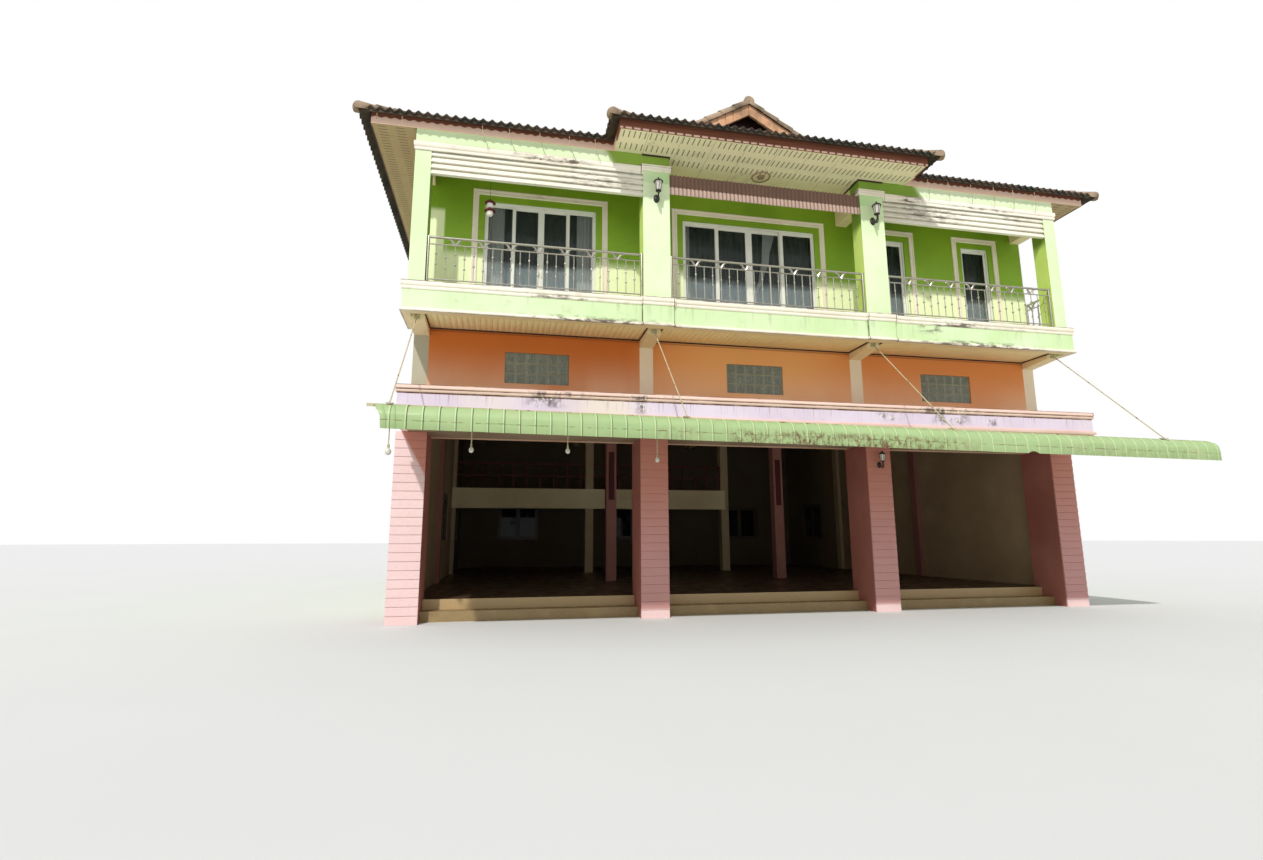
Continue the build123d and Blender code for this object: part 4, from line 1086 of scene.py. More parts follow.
def add_cap_tile(bm, low, high, low_radius, high_radius, thickness=0.014, closed_end=False):
    """One half-round tile laid over a hip or ridge."""
    low = Vector(low)
    high = Vector(high)
    line = (high - low).normalized()
    across = Vector((line.y, -line.x, 0)).normalized()
    up = across.cross(line).normalized()
    if up.z < 0:
        up = -up
    steps = [(low, low_radius), (high, high_radius)]
    if closed_end:
        shape = ((-0.075, 0.45), (-0.06, 0.72), (-0.035, 0.93), (0.0, 1.04), (0.03, 1.0))
        steps = [(low + line * far, low_radius * share) for far, share in shape] + [(high, high_radius)]
    rings = []
    for place, radius in steps:
        turns = [math.radians(-20 + 220 * step / 14) for step in range(15)]
        outer = [place + radius * (math.cos(turn) * across + math.sin(turn) * up) for turn in turns]
        inside = max(radius - thickness, 0.01)
        if closed_end:
            inside = 0.01
        inner = [place + inside * (math.cos(turn) * across + math.sin(turn) * up) for turn in reversed(turns)]
        rings.append(outer + inner)
    add_loft(bm, rings)


def add_cap_row(bm, start, end, rise_start, rise_end, radius=0.108, closed_end=True):
    """A row of overlapping half-round tiles up a line."""
    start = Vector(start)
    end = Vector(end)
    count = round((end - start).length / 0.36)
    for number in range(count):
        low = start.lerp(end, number / count)
        high = start.lerp(end, min((number + 1.12) / count, 1.0))
        sink_low = rise_start + (rise_end - rise_start) * number / count - radius
        sink_high = rise_start + (rise_end - rise_start) * (number + 1) / count - radius
        low.z += sink_low + 0.006
        high.z += sink_high - 0.006
        add_cap_tile(bm, low, high, radius, radius - 0.012, closed_end=closed_end and number == 0)


def ridge_tiles():
    """Half-round tiles along every hip and ridge, and the verge tiles of the gablet."""
    bm = bmesh.new()
    middle = (roof_front + roof_back) / 2
    half_depth = (roof_back - roof_front) / 2
    top = surface_base + half_depth * slope
    peak = roof_x - half_depth
    for side in (-1, 1):
        for edge in (roof_front, roof_back):
            add_cap_row(bm, (side * roof_x, edge, surface_base), (side * peak, middle, top), 0.08, ridge_rise)
    add_cap_row(
        bm, (-peak - 0.1, middle, top), (peak + 0.1, middle, top), ridge_rise, ridge_rise, closed_end=False
    )
    rise = verge - porch_edge
    for side in (-1, 1):
        foot = (side * porch_half, porch_edge, surface_base)
        add_cap_row(bm, foot, (side * (porch_half - rise), verge, surface_base + rise * slope), 0.08, 0.08)
    porch_top = surface_base + porch_half * slope
    add_cap_row(
        bm, (0, verge - 0.05, porch_top), (0, roof_front + porch_half, porch_top), 0.09, 0.09, 0.11, False
    )
    end_height = porch_top - 0.015
    add_cap_tile(bm, (0, verge - 0.06, end_height), (0, verge - 0.045, end_height), 0.11, 0.11, 0.105)
    piece(
        "hip_and_ridge_tiles", bm, materials["ridge_tile"], replaces=("ridge_and_verge_tiles",)
    )
    bm = bmesh.new()
    caps = bmesh.new()
    count = 9
    low_x = porch_half - rise
    outline = ((verge + 0.04, 0.0), (verge - 0.012, 0.0), (verge - 0.012, 0.24), (verge + 0.04, 0.24))
    for side in (-1, 1):
        for number in range(count):
            near = low_x * (1 - number / count)
            far = low_x * (1 - (number + 0.97) / count)
            ends = []
            for x, lift in ((near, 0.008), (far, 0.0)):
                height = surface_base + (porch_half - x) * slope - tile_drop - 0.004
                ends.append([(side * x, y - lift, height - drop) for y, drop in outline])
            add_loft(bm, ends)
        foot = (side * low_x, verge + 0.03, surface_base + (porch_half - low_x) * slope)
        add_cap_row(caps, foot, (0, verge + 0.03, porch_top), 0.075, 0.075, 0.105, False)
    piece("verge_caps", caps, materials["ridge_tile"])
    piece("verge_tiles", bm, materials["verge_tile"])


# Mouldings, which run along the front and both ends

def banded(low, high, out, back_to=0.0):
    """The outline of a cornice of two bands with a groove between them."""
    height = high - low
    return [
        (back_to, low), (out * 0.3, low), (out * 0.6, low + height * 0.1), (out * 0.62, low + height * 0.28),
        (out * 0.35, low + height * 0.36), (out * 0.75, low + height * 0.42), (out, low + height * 0.52),
        (out, low + height * 0.86), (out * 0.72, low + height * 0.97), (out * 0.3, high), (back_to, high),
    ]


def balcony_path():
    """The balcony's front in plan from left to right, round the fields below its middle pillars."""
    half = 0.28
    field = balcony_front - 0.04
    path = [(-balcony_x, front), (-balcony_x, balcony_front)]
    for centre in (-x_middle, x_middle):
        path += [(centre - half, balcony_front), (centre - half, field)]
        path += [(centre + half, field), (centre + half, balcony_front)]
    return path + [(balcony_x, balcony_front), (balcony_x, front)]


def balcony_mouldings():
    """The coping on the balcony's low wall and the moulding at its foot."""
    bm = bmesh.new()
    cover = spandrel_top
    outline = banded(coping_top - 0.15, coping_top, 0.03)
    outline = outline[:-1] + [(-0.118, coping_top), (-0.118, cover), (0.0, cover)]
    add_sweep(bm, balcony_path(), outline)
    foot = spandrel_bottom
    add_sweep(bm, balcony_path(), [
        (0.0, foot), (0.022, foot), (0.03, foot + 0.01), (0.03, foot + 0.034), (0.016, foot + 0.044),
        (0.012, foot + 0.055), (0.0, foot + 0.055),
    ])
    piece(
        "coping_and_foot_moulding", bm, materials["white_moulding"], ("balcony_mouldings",)
    )


def cap_mouldings():
    """The caps of the middle pillars, and the lower mouldings over the outer bays and round the corners."""
    bm = bmesh.new()
    cap = banded(cap_bottom, cap_bottom + 0.124, 0.04)
    moulding = banded(moulding_bottom, moulding_bottom + 0.165, 0.03)
    around = [(-middle_x_outer, pillar_front + 0.02), (-middle_x_outer, pillar_front)]
    around += [(-middle_x_inner, pillar_front), (-middle_x_inner, pillar_back)]
    over = [(-corner_x, front), (-corner_x, pillar_front), (-middle_x_outer, pillar_front)]
    for path, outline in ((around, cap), (over, moulding)):
        add_sweep(bm, path, outline)
        add_sweep(bm, [(-x, y) for x, y in reversed(path)], outline)
    piece("cap_mouldings", bm, materials["white_moulding"], ("pillar_caps",))


def door_surrounds():
    """Double raised bands on the wall round each balcony door."""
    bm = bmesh.new()
    wide = 0.105
    outline = [
        (0.0, 0.0), (0.0, 0.017), (0.008, 0.024), (0.03, 0.024), (0.038, 0.012), (0.067, 0.012),
        (0.075, 0.024),
        (0.097, 0.024), (wide, 0.017), (wide, 0.0),
    ]
    for centre, width in doors:
        half = width / 2 + 0.115
        top = upper_floor + door_height + 0.115
        rings = []
        for side, height, rises in (
            (-1, upper_floor, False), (-1, top, True), (1, top, True), (1, upper_floor, False)
        ):
            ring = []
            for far, out in outline:
                ring.append((centre + side * (half + far), front - out, height + (far if rises else 0.0)))
            rings.append(ring)
        add_loft(bm, rings)
    piece("door_surround_bands", bm, materials["surround"], ("door_surrounds",))


def canopy_and_parapet():
    """The canopy's slab with its parapet, its two-band top moulding and a ledge where the awning starts."""
    bm = bmesh.new()
    inside = canopy_x - 0.1
    add_block(bm, (-inside, inside), (canopy_front + 0.1, front), (canopy_underside, canopy_underside + 0.12))
    piece("canopy_slab", bm, materials["canopy_ceiling"], ("canopy",))
    bm = bmesh.new()
    low = parapet_top - 0.124
    outline = [(-0.1, canopy_underside), (0.0, canopy_underside), (0.0, low)]
    outline += [(0.012, low + 0.004), (0.026, low + 0.018), (0.028, low + 0.04), (0.014, low + 0.052)]
    outline += [(0.022, low + 0.058), (0.034, low + 0.07), (0.034, low + 0.1), (0.028, low + 0.112)]
    outline += [(0.032, low + 0.116), (0.03, parapet_top), (-0.1, parapet_top)]
    path = [(-canopy_x, front), (-canopy_x, canopy_front), (canopy_x, canopy_front), (canopy_x, front)]
    add_sweep(bm, path, outline)
    piece("canopy_parapet", bm, materials["lilac"], ("canopy",))
    bm = bmesh.new()
    ledge = awning_root
    outline = [
        (0.0, ledge - 0.02), (0.03, ledge - 0.02), (0.036, ledge), (0.03, ledge + 0.03), (0.0, ledge + 0.045)
    ]
    add_sweep(bm, path, outline)
    piece("parapet_foot_ledge", bm, materials["pink_ledge"])


# Awning

def thicken(bm, thickness):
    """Make a thin shell of a sheet, with its points and faces numbered by place, the same in every run."""
    bmesh.ops.recalc_face_normals(bm, faces=bm.faces)
    bmesh.ops.solidify(bm, geom=bm.faces[:], thickness=thickness)
    for number, vert in enumerate(sorted(bm.verts, key=lambda vert: vert.co[:])):
        vert.index = number
    bm.verts.sort()
    corners = {face: sorted(vert.index for vert in face.verts) for face in bm.faces}
    for number, face in enumerate(sorted(bm.faces, key=corners.get)):
        face.index = number
    bm.faces.sort()


def awning_path():
    """Points of the awning's outer face at its left end, from its root over its nose to its foot."""
    lean = math.atan2(awning_drop, awning_reach)
    radius = 0.2
    turn = math.pi / 2 - lean
    reach = radius * math.tan(turn / 2)
    corner = (awning_nose, awning_root - awning_drop)
    points = []
    start = (corner[0] + reach * math.cos(lean), corner[1] + reach * math.sin(lean))
    for step in range(9):
        share = step / 9
        points.append(
            (canopy_front + (start[0] - canopy_front) * share, awning_root + (start[1] - awning_root) * share)
        )
    centre = (awning_nose + radius, corner[1] - reach)
    for step in range(13):
        angle = math.pi / 2 + lean + turn * step / 12
        points.append((centre[0] + radius * math.cos(angle), centre[1] + radius * math.sin(angle)))
    points.append((awning_nose, awning_foot + 0.012))
    points.append((awning_nose + 0.003, awning_foot))
    return points


def awning():
    """The awning's sheet with raised seams, small dents and a torn notch at its lower edge."""
    path = awning_path()
    normals = []
    for number in range(len(path)):
        before = Vector(path[max(number - 1, 0)])
        after = Vector(path[min(number + 1, len(path) - 1)])
        line = (after - before).normalized()
        normals.append(Vector((line.y, -line.x)))
    places = [awning_x]
    pitch = rib_pitch
    ribs = int((awning_end - awning_x - 0.1) / pitch)
    for number in range(ribs + 1):
        centre = awning_x + 0.11 + number * pitch
        for off, raised in ((-0.02, False), (-0.009, True), (0.009, True), (0.02, False)):
            places.append((centre + off, raised))
        for share in (0.35, 0.65):
            places.append((centre + 0.02 + (pitch - 0.04) * share, False))
    places = [(awning_x, False)] + [place for place in places[1:] if place[0] < awning_end - 0.01]
    places.append((awning_end, False))
    bm = bmesh.new()
    rows = []
    for x, raised in places:
        row = []
        for number, (y, z) in enumerate(path):
            normal = normals[number]
            depth = 0.003 if raised else 0.016
            wear = noise.noise(Vector((x * 1.7, number * 0.28, 3.0))) * 0.006 + 0.004
            wear += max(
                noise.noise(Vector((x * 4.0, number * 0.5, 9.0))), 0.0
            ) * (0.012 if x > 2.0 else 0.004)
            inward = depth + max(wear, 0.0)
            place_y = y - normal.x * inward
            place_z = z - normal.y * inward
            if number > len(path) - 4:
                notch = max(1.0 - abs(x - notch_x) / 0.1, 0.0)
                place_z += notch * 0.05 * (number - len(path) + 4) / 3
            from_end = x - awning_x
            if from_end < 0.5:
                down = max(number - 8, 0) / (len(path) - 9)
                from_end += (0.08 * min(number / 8, 1.0) + 0.15 * down) * (1 - from_end / 0.5)
            fall = awning_fall * (x - awning_x) / (awning_end - awning_x)
            row.append((awning_x + from_end, max(place_y, awning_nose), place_z - fall))
        rows.append(row)
    add_grid(bm, rows)
    thicken(bm, 0.003)
    piece("awning_ribbed_sheet", bm, materials["awning"], ("awning_sheet",), degrees=28)


# Balcony railings

def add_railing(bm, start, end, middle_post=False):
    """Round rails, balusters with beads, curled ornaments and end posts between two points."""
    start = Vector((*start, 0.0))
    end = Vector((*end, 0.0))
    line = (end - start).normalized()
    length = (end - start).length

    def at(far, height):
        return start + line * far + Vector((0, 0, height))

    radius = 0.021
    second = railing_top - 0.142
    low = coping_top + 0.072
    add_tube(bm, [at(0.0, railing_top - radius), at(length, railing_top - radius)], radius, 10)
    add_tube(bm, [at(0.0, second), at(length, second)], 0.0115)
    add_tube(bm, [at(0.0, low), at(length, low)], 0.0115)
    posts = [0.022, length - 0.022]
    for far in posts:
        add_turned(bm, at(far, 0.0), [
            (0.034, coping_top), (0.034, coping_top + 0.006), (0.022, coping_top + 0.012),
            (0.022, railing_top - 0.02), (0.019, railing_top - 0.004), (0.008, railing_top),
        ], 14)
    if middle_post:
        posts.append(length / 2)
        add_turned(bm, at(length / 2, 0.0), [
            (0.03, coping_top), (0.03, coping_top + 0.006), (0.017, coping_top + 0.012),
            (0.017, railing_top - 0.03),
        ], 14)
    count = round(length / 0.306) * 2
    for number in range(1, count):
        far = length * number / count
        if far in posts:
            continue
        add_tube(bm, [at(far, low), at(far, second)], 0.0075, 6)
        shift = 0.045 if number % 2 else -0.02
        for height in (0.36, 0.66):
            middle = low + (second - low) * height + shift
            add_turned(bm, at(far, middle), [
                (0.007, -0.022), (0.017, -0.012), (0.02, 0.0), (0.017, 0.012), (0.007, 0.022),
            ], 8)
        if number % 3 == 0 and far not in posts:
            add_curls(bm, at, far, second)


def add_curls(bm, at, far, base):
    """Two flattened leaves that open from a baluster like a V, with curled tips."""
    for side in (-1, 1):
        shape = [
            (0.0, -0.01), (0.012, 0.012), (0.036, 0.046), (0.058, 0.08), (0.074, 0.094), (0.09, 0.096),
            (0.1, 0.086)
        ]
        add_tube(bm, [at(far + side * out, base + rise) for out, rise in shape], [
            0.016, 0.018, 0.018, 0.017, 0.015, 0.012, 0.006,
        ], 6)
        shape = [(0.03, 0.03), (0.056, 0.036), (0.074, 0.03), (0.078, 0.018), (0.068, 0.012)]
        add_tube(
            bm, [at(far + side * out, base + rise) for out, rise in shape],
            [0.007, 0.0065, 0.006, 0.005, 0.004], 6
        )


def railings():
    """The five railings of the balcony."""
    gap = 0.002
    bm = bmesh.new()
    spans = [
        (-corner_x_inner, -middle_x_outer), (-middle_x_inner, middle_x_inner),
        (middle_x_outer, corner_x_inner)
    ]
    for number, (low, high) in enumerate(spans):
        ends = ((low + gap, railing_line), (high - gap, railing_line))
        add_railing(bm, *ends, middle_post=number == 1)
    piece("front_railing_bars", bm, materials["stainless"], ("front_railings",))
    bm = bmesh.new()
    for side in (-1, 1):
        x = side * (balcony_x - 0.08)
        add_railing(bm, (x, pillar_back + gap), (x, front - gap))
    piece("side_railing_bars", bm, materials["stainless"], ("side_railings",))


# Shades over the balcony

def sunshade_slats():
    """Four flat lapped boards below the beam of each outer bay, each leaning back to its top."""
    bm = bmesh.new()
    top = eaves - 0.37
    slats = 4
    height = 0.44 / slats
    stations = 14
    for side in (-1, 1):
        for number in range(slats):
            low = top - height * (number + 1)
            rings = []
            for station in range(stations + 1):
                x = middle_x_outer + (corner_x_inner - middle_x_outer) * station / stations
                sag = 0.005 * noise.noise(Vector((x * 0.9, number * 2.0, side * 5.0)))
                outline = [
                    (0.069, 0.004), (0.003, 0.004), (0.0, 0.008), (0.001, 0.022), (0.016, 0.06),
                    (0.036, height - 0.01),
                    (0.05, height - 0.002), (0.069, height - 0.001),
                ]
                rings.append([(side * x, pillar_front + out, low + rise + sag) for out, rise in outline])
            add_loft(bm, rings)
    piece("sunshade_slats", bm, materials["white_sheet"], ("sunshades",))


def ribbed_blind():
    """The corrugated sheet that hangs between the middle pillars."""
    bm = bmesh.new()
    half = middle_x_inner - 0.004
    middle_y = pillar_front + 0.03
    pitch = 0.076
    columns = round(2 * half / pitch) * 6
    top = cap_bottom - 0.01
    rows = []
    for height in (top, top - 0.125, top - 0.25, top - 0.375):
        row = []
        for column in range(columns + 1):
            x = -half + 2 * half * column / columns
            wave = math.sin(2 * math.pi * (x + half) / pitch)
            bend = 0.004 * noise.noise(Vector((x * 1.2, height * 2.0, 1.0)))
            row.append((x, middle_y + 0.011 * wave + bend, height))
        rows.append(row)
    add_grid(bm, rows)
    thicken(bm, 0.002)
    for height in (top - 0.02, top - 0.355):
        add_block(bm, (-half, half), (middle_y + 0.012, middle_y + 0.02), (height - 0.02, height + 0.02))
    piece("ribbed_blind", bm, materials["blind"], ("centre_blind",), degrees=60)


# Pillars, glass blocks and the boards below the balcony

def add_lapped_front(bm, x, courses):
    """The lapped boards on the front of one ground pillar, each set back a little at its top."""
    half = 0.483 / 2
    low_y = front - 0.569
    back_y = low_y + 0.03
    lap = canopy_underside / courses
    rings = []
    for number in range(courses):
        foot = number * lap
        for height, inset in (
            (0.0, 0.003), (0.004, 0.0), (lap * 0.6, 0.004), (lap - 0.006, 0.009), (lap - 0.002, 0.017)
        ):
            rings.append([
                (x - half, low_y + inset, foot + height), (x + half, low_y + inset, foot + height),
                (x + half, back_y, foot + height), (x - half, back_y, foot + height),
            ])
    add_loft(bm, rings)


def ground_pillars():
    """The four pink pillars, with plain sides behind their boarded fronts."""
    for name, node, x in (
        ("corner", "ground_corner_pillars", x_end), ("middle", "ground_middle_pillars", x_middle)
    ):
        boards = bmesh.new()
        core = bmesh.new()
        for side in (-1, 1):
            add_lapped_front(boards, side * x, 22)
            half = 0.483 / 2 - 0.003
            reach = (side * x - half, side * x + half)
            add_block(core, reach, (front - 0.54, column_back), (0.0, canopy_underside))
        piece(name + "_pillar_boards", boards, materials["pink_board"], (node,), degrees=20)
        piece(name + "_pillar_sides", core, materials["pink_side"], (node,))


def glass_blocks():
    """Fluted glass blocks in a grid of pale mortar, six by three in each window."""
    block = 0.19
    sill = canopy_underside + 1.005
    glass = bmesh.new()
    joint = bmesh.new()
    for centre in (-x_bay, 0.0, x_bay):
        low_x = centre - 3 * block
        add_block(joint, (low_x, low_x + 6 * block), (front + 0.029, front + 0.1), (sill, sill + 3 * block))
        for column in range(6):
            for row in range(3):
                x = low_x + column * block
                z = sill + row * block
                add_glass_block(glass, x + 0.008, z + 0.008, block - 0.016)
    piece(
        "glass_blocks", glass, materials["glass_block"], ("glass_block_windows",), degrees=30
    )
    piece("glass_block_joints", joint, materials["mortar"])


def add_glass_block(bm, x, z, size):
    """One glass block with a rounded rim and an upright fluted face, the same on both sides."""
    rims = ((front + 0.105, 0.008), (front + 0.1, 0.0), (front + 0.03, 0.0), (front + 0.025, 0.008))
    add_loft(bm, [
        [(x + inset, y, z + inset), (x + size - inset, y, z + inset),
         (x + size - inset, y, z + size - inset), (x + inset, y, z + size - inset)]
        for y, inset in rims
    ])
    flutes = 5
    inner = 0.02
    for number in range(flutes):
        low = x + inner + (size - 2 * inner) * number / flutes
        high = x + inner + (size - 2 * inner) * (number + 1) / flutes
        middle = (low + high) / 2
        rings = []
        for height in (z + inner, z + size - inner):
            ring = [(low + 0.002, front + 0.024, height), (high - 0.002, front + 0.024, height)]
            ring += [(middle + (high - low) * 0.25, front + 0.017, height), (middle, front + 0.015, height)]
            ring += [(middle - (high - low) * 0.25, front + 0.017, height)]
            rings.append(ring)
        add_loft(bm, rings)


def balcony_ceiling():
    """Narrow boards below the balcony, with dark trim round each bay."""
    boards = bmesh.new()
    trim = bmesh.new()
    top = upper_floor - 0.14
    low_y = balcony_front + 0.12
    half = 0.128
    beams = (-x_end, -x_middle, x_middle, x_end)
    for left, right in zip(beams, beams[1:]):
        low_x, high_x = left + half, right - half
        count = round((high_x - low_x) / 0.1)
        for number in range(count):
            x0 = low_x + (high_x - low_x) * number / count + 0.0015
            x1 = low_x + (high_x - low_x) * (number + 1) / count - 0.0015
            add_block(boards, (x0, x1), (low_y, front), (top - 0.009, top), 0.0015)
        add_block(trim, (low_x, high_x), (front - 0.018, front), (top - 0.03, top - 0.009))
        for x0 in (low_x, high_x - 0.018):
            add_block(trim, (x0, x0 + 0.018), (low_y, front - 0.018), (top - 0.03, top - 0.009))
    piece("balcony_ceiling_boards", boards, materials["ceiling_board"])
    piece("balcony_ceiling_trim", trim, materials["dark_timber"])


# Doors, curtains and lamps

def add_door_leaf(frame_bm, glass_bm, x, y, z, stiles):
    """One glazed leaf between two places along X and Z, with its stiles' widths given."""
    left, right = stiles
    low_rail = 0.085
    top_rail = 0.055
    depth = (y, y + 0.035)
    add_block(frame_bm, (x[0], x[0] + left), depth, z, 0.003)
    add_block(frame_bm, (x[1] - right, x[1]), depth, z, 0.003)
    add_block(frame_bm, (x[0] + left, x[1] - right), depth, (z[0], z[0] + low_rail), 0.003)
    add_block(frame_bm, (x[0] + left, x[1] - right), depth, (z[1] - top_rail, z[1]), 0.003)
    pane_x = (x[0] + left - 0.004, x[1] - right + 0.004)
    add_block(glass_bm, pane_x, (y + 0.014, y + 0.02), (z[0] + low_rail - 0.004, z[1] - top_rail + 0.004))
    bead = 0.008
    for low, high in ((x[0] + left, x[0] + left + bead), (x[1] - right - bead, x[1] - right)):
        add_block(frame_bm, (low, high), (y + 0.006, y + 0.013), (z[0] + low_rail, z[1] - top_rail))
    for low, high in ((z[0] + low_rail, z[0] + low_rail + bead), (z[1] - top_rail - bead, z[1] - top_rail)):
        add_block(frame_bm, (x[0] + left, x[1] - right), (y + 0.006, y + 0.013), (low, high))


def add_door(frame_bm, glass_bm, centre, width, mullion, middle):
    """A balcony door with one leaf, or with four that slide past each other in pairs."""
    outer = (centre - width / 2, centre + width / 2)
    near = front + 0.025
    far = front + 0.125
    face = 0.03
    top = upper_floor + door_height
    add_block(frame_bm, (outer[0], outer[0] + face), (near, far), (upper_floor, top), 0.004)
    add_block(frame_bm, (outer[1] - face, outer[1]), (near, far), (upper_floor, top), 0.004)
    add_block(frame_bm, (outer[0] + face, outer[1] - face), (near, far), (top - face, top), 0.004)
    add_block(
        frame_bm, (outer[0] + face, outer[1] - face), (near, far), (upper_floor, upper_floor + 0.03), 0.004
    )
    clear = (outer[0] + face, outer[1] - face)
    z = (upper_floor + 0.03, top - face)
    if middle == 0.0:
        add_door_leaf(frame_bm, glass_bm, clear, near + 0.03, z, (0.034, 0.034))
        add_handle(frame_bm, clear[0] + 0.025, near + 0.03, upper_floor + 1.02)
        return
    quarter = (clear[1] - clear[0]) / 4
    places = [clear[0] + quarter * number for number in range(5)]
    half = mullion / 2
    outer_track = near + 0.014
    inner_track = near + 0.055
    leaves = (
        (places[0], places[1] + half, outer_track, (0.026, mullion)),
        (places[1] - half, places[2], inner_track, (mullion, middle / 2)),
        (places[2], places[3] + half, inner_track, (middle / 2, mullion)),
        (places[3] - half, places[4], outer_track, (mullion, 0.026)),
    )
    for low, high, y, stiles in leaves:
        add_door_leaf(frame_bm, glass_bm, (low, high), y, z, stiles)
    for side in (-1, 1):
        add_handle(frame_bm, places[2] + side * middle / 4, inner_track, upper_floor + 1.02)


def add_handle(bm, x, y, z):
    """A small upright pull on a stile."""
    add_tube(
        bm, [(x, y, z - 0.06), (x, y - 0.022, z - 0.05), (x, y - 0.022, z + 0.05), (x, y, z + 0.06)], 0.005, 6
    )


def balcony_doors():
    """The four glazed doors of the balcony."""
    glass = bmesh.new()
    right = bmesh.new()
    for number, (centre, width) in enumerate(doors):
        bm = right if number > 1 else bmesh.new()
        mullion, middle = ((0.048, 0.1), (0.066, 0.12), (0.0, 0.0), (0.0, 0.0))[number]
        add_door(bm, glass, centre, width, mullion, middle)
        if number < 2:
            name = ("left", "middle")[number]
            piece(name + "_door_frame", bm, materials["door_paint"], (name + "_balcony_door",))
    piece("right_door_frames", right, materials["door_paint"], ("right_balcony_doors",))
    piece("door_panes", glass, materials["door_glass"], ("balcony_door_glass",))


curtain_top = 7.5
curtain_foot = 5.13
rail_line = -5.79


def hang_curtain(name, material, stations, y, pitch=0.11, depth=0.028):
    """A hung curtain whose left and right edges are given from its top to its foot."""
    bm = bmesh.new()
    rows = []
    top_width = stations[0][2] - stations[0][1]
    folds = max(round(top_width / pitch), 2)
    columns = folds * 10
    cut_width = 0.0
    for number in range(25):
        share = number / 24
        height = curtain_top + (curtain_foot - curtain_top) * share
        for before, after in zip(stations, stations[1:]):
            if before[0] >= height >= after[0]:
                blend = (before[0] - height) / (before[0] - after[0])
                blend = blend * blend * (3 - 2 * blend)
                left = before[1] + (after[1] - before[1]) * blend
                right = before[2] + (after[2] - before[2]) * blend
        row = []
        for column in range(columns + 1):
            across = column / columns
            sway = noise.noise(Vector((across * folds * 0.7, share * 1.3, top_width * 5.0)))
            swing = depth * (0.55 + 0.45 * share + 0.5 * sway)
            turn = 2 * math.pi * (across * folds + 0.25 * sway * share)
            row.append((left + (right - left) * across, y + swing * math.sin(turn), height))
        cut_width = max(cut_width, sum((Vector(b) - Vector(a)).length for a, b in zip(row, row[1:])))
        rows.append(row)
    add_grid(bm, rows)
    area = sum(face.calc_area() for face in bm.faces)
    made = piece(name, bm, material, degrees=80)
    return made


def curtains():
    """Rails behind the balcony doors, and the curtains that hang from them."""
    bm = bmesh.new()
    for centre, width in doors:
        half = width / 2 + 0.12
        for y in (rail_line, rail_line + 0.09):
            add_tube(
                bm, [(centre - half, y, curtain_top + 0.012), (centre + half, y, curtain_top + 0.012)], 0.011
            )
        for side in (-1, 1):
            x = centre + side * (half - 0.05)
            add_block(
                bm, (x - 0.01, x + 0.01), (front + wall, rail_line + 0.1),
                (curtain_top + 0.02, curtain_top + 0.03)
            )
    piece("curtain_rails", bm, materials["steel_paint"])
    grey = materials["curtain"]
    white = materials["white_curtain"]

    def straight(left, right):
        return [(curtain_top, left, right), (curtain_foot, left, right)]

    back_line = rail_line + 0.09
    hang_curtain("curtain_left_door", grey, straight(-5.12, -3.12), back_line)
    hang_curtain("curtain_left_door_white_a", white, straight(-5.13, -4.8), rail_line, 0.07, 0.018)
    hang_curtain("curtain_left_door_white_b", white, straight(-3.44, -3.12), rail_line, 0.07, 0.018)
    hang_curtain("curtain_middle_door", grey, straight(-1.4, 1.4), back_line)
    hang_curtain("curtain_middle_door_white_a", white, straight(-1.38, -1.2), rail_line, 0.06, 0.016)
    tied = [
        (curtain_top, 0.36, 0.62), (6.9, 0.33, 0.49), (6.45, 0.25, 0.35), (6.1, 0.12, 0.2), (5.9, 0.06, 0.18),
        (curtain_foot, 0.04, 0.2),
    ]
    hang_curtain("curtain_middle_door_white_b", white, tied, rail_line, 0.05, 0.012)
    for number, (centre, width) in enumerate(doors[2:]):
        hang_curtain(
            "curtain_right_door_" + "ab"[number], grey, straight(centre - 0.36, centre + 0.36), back_line
        )


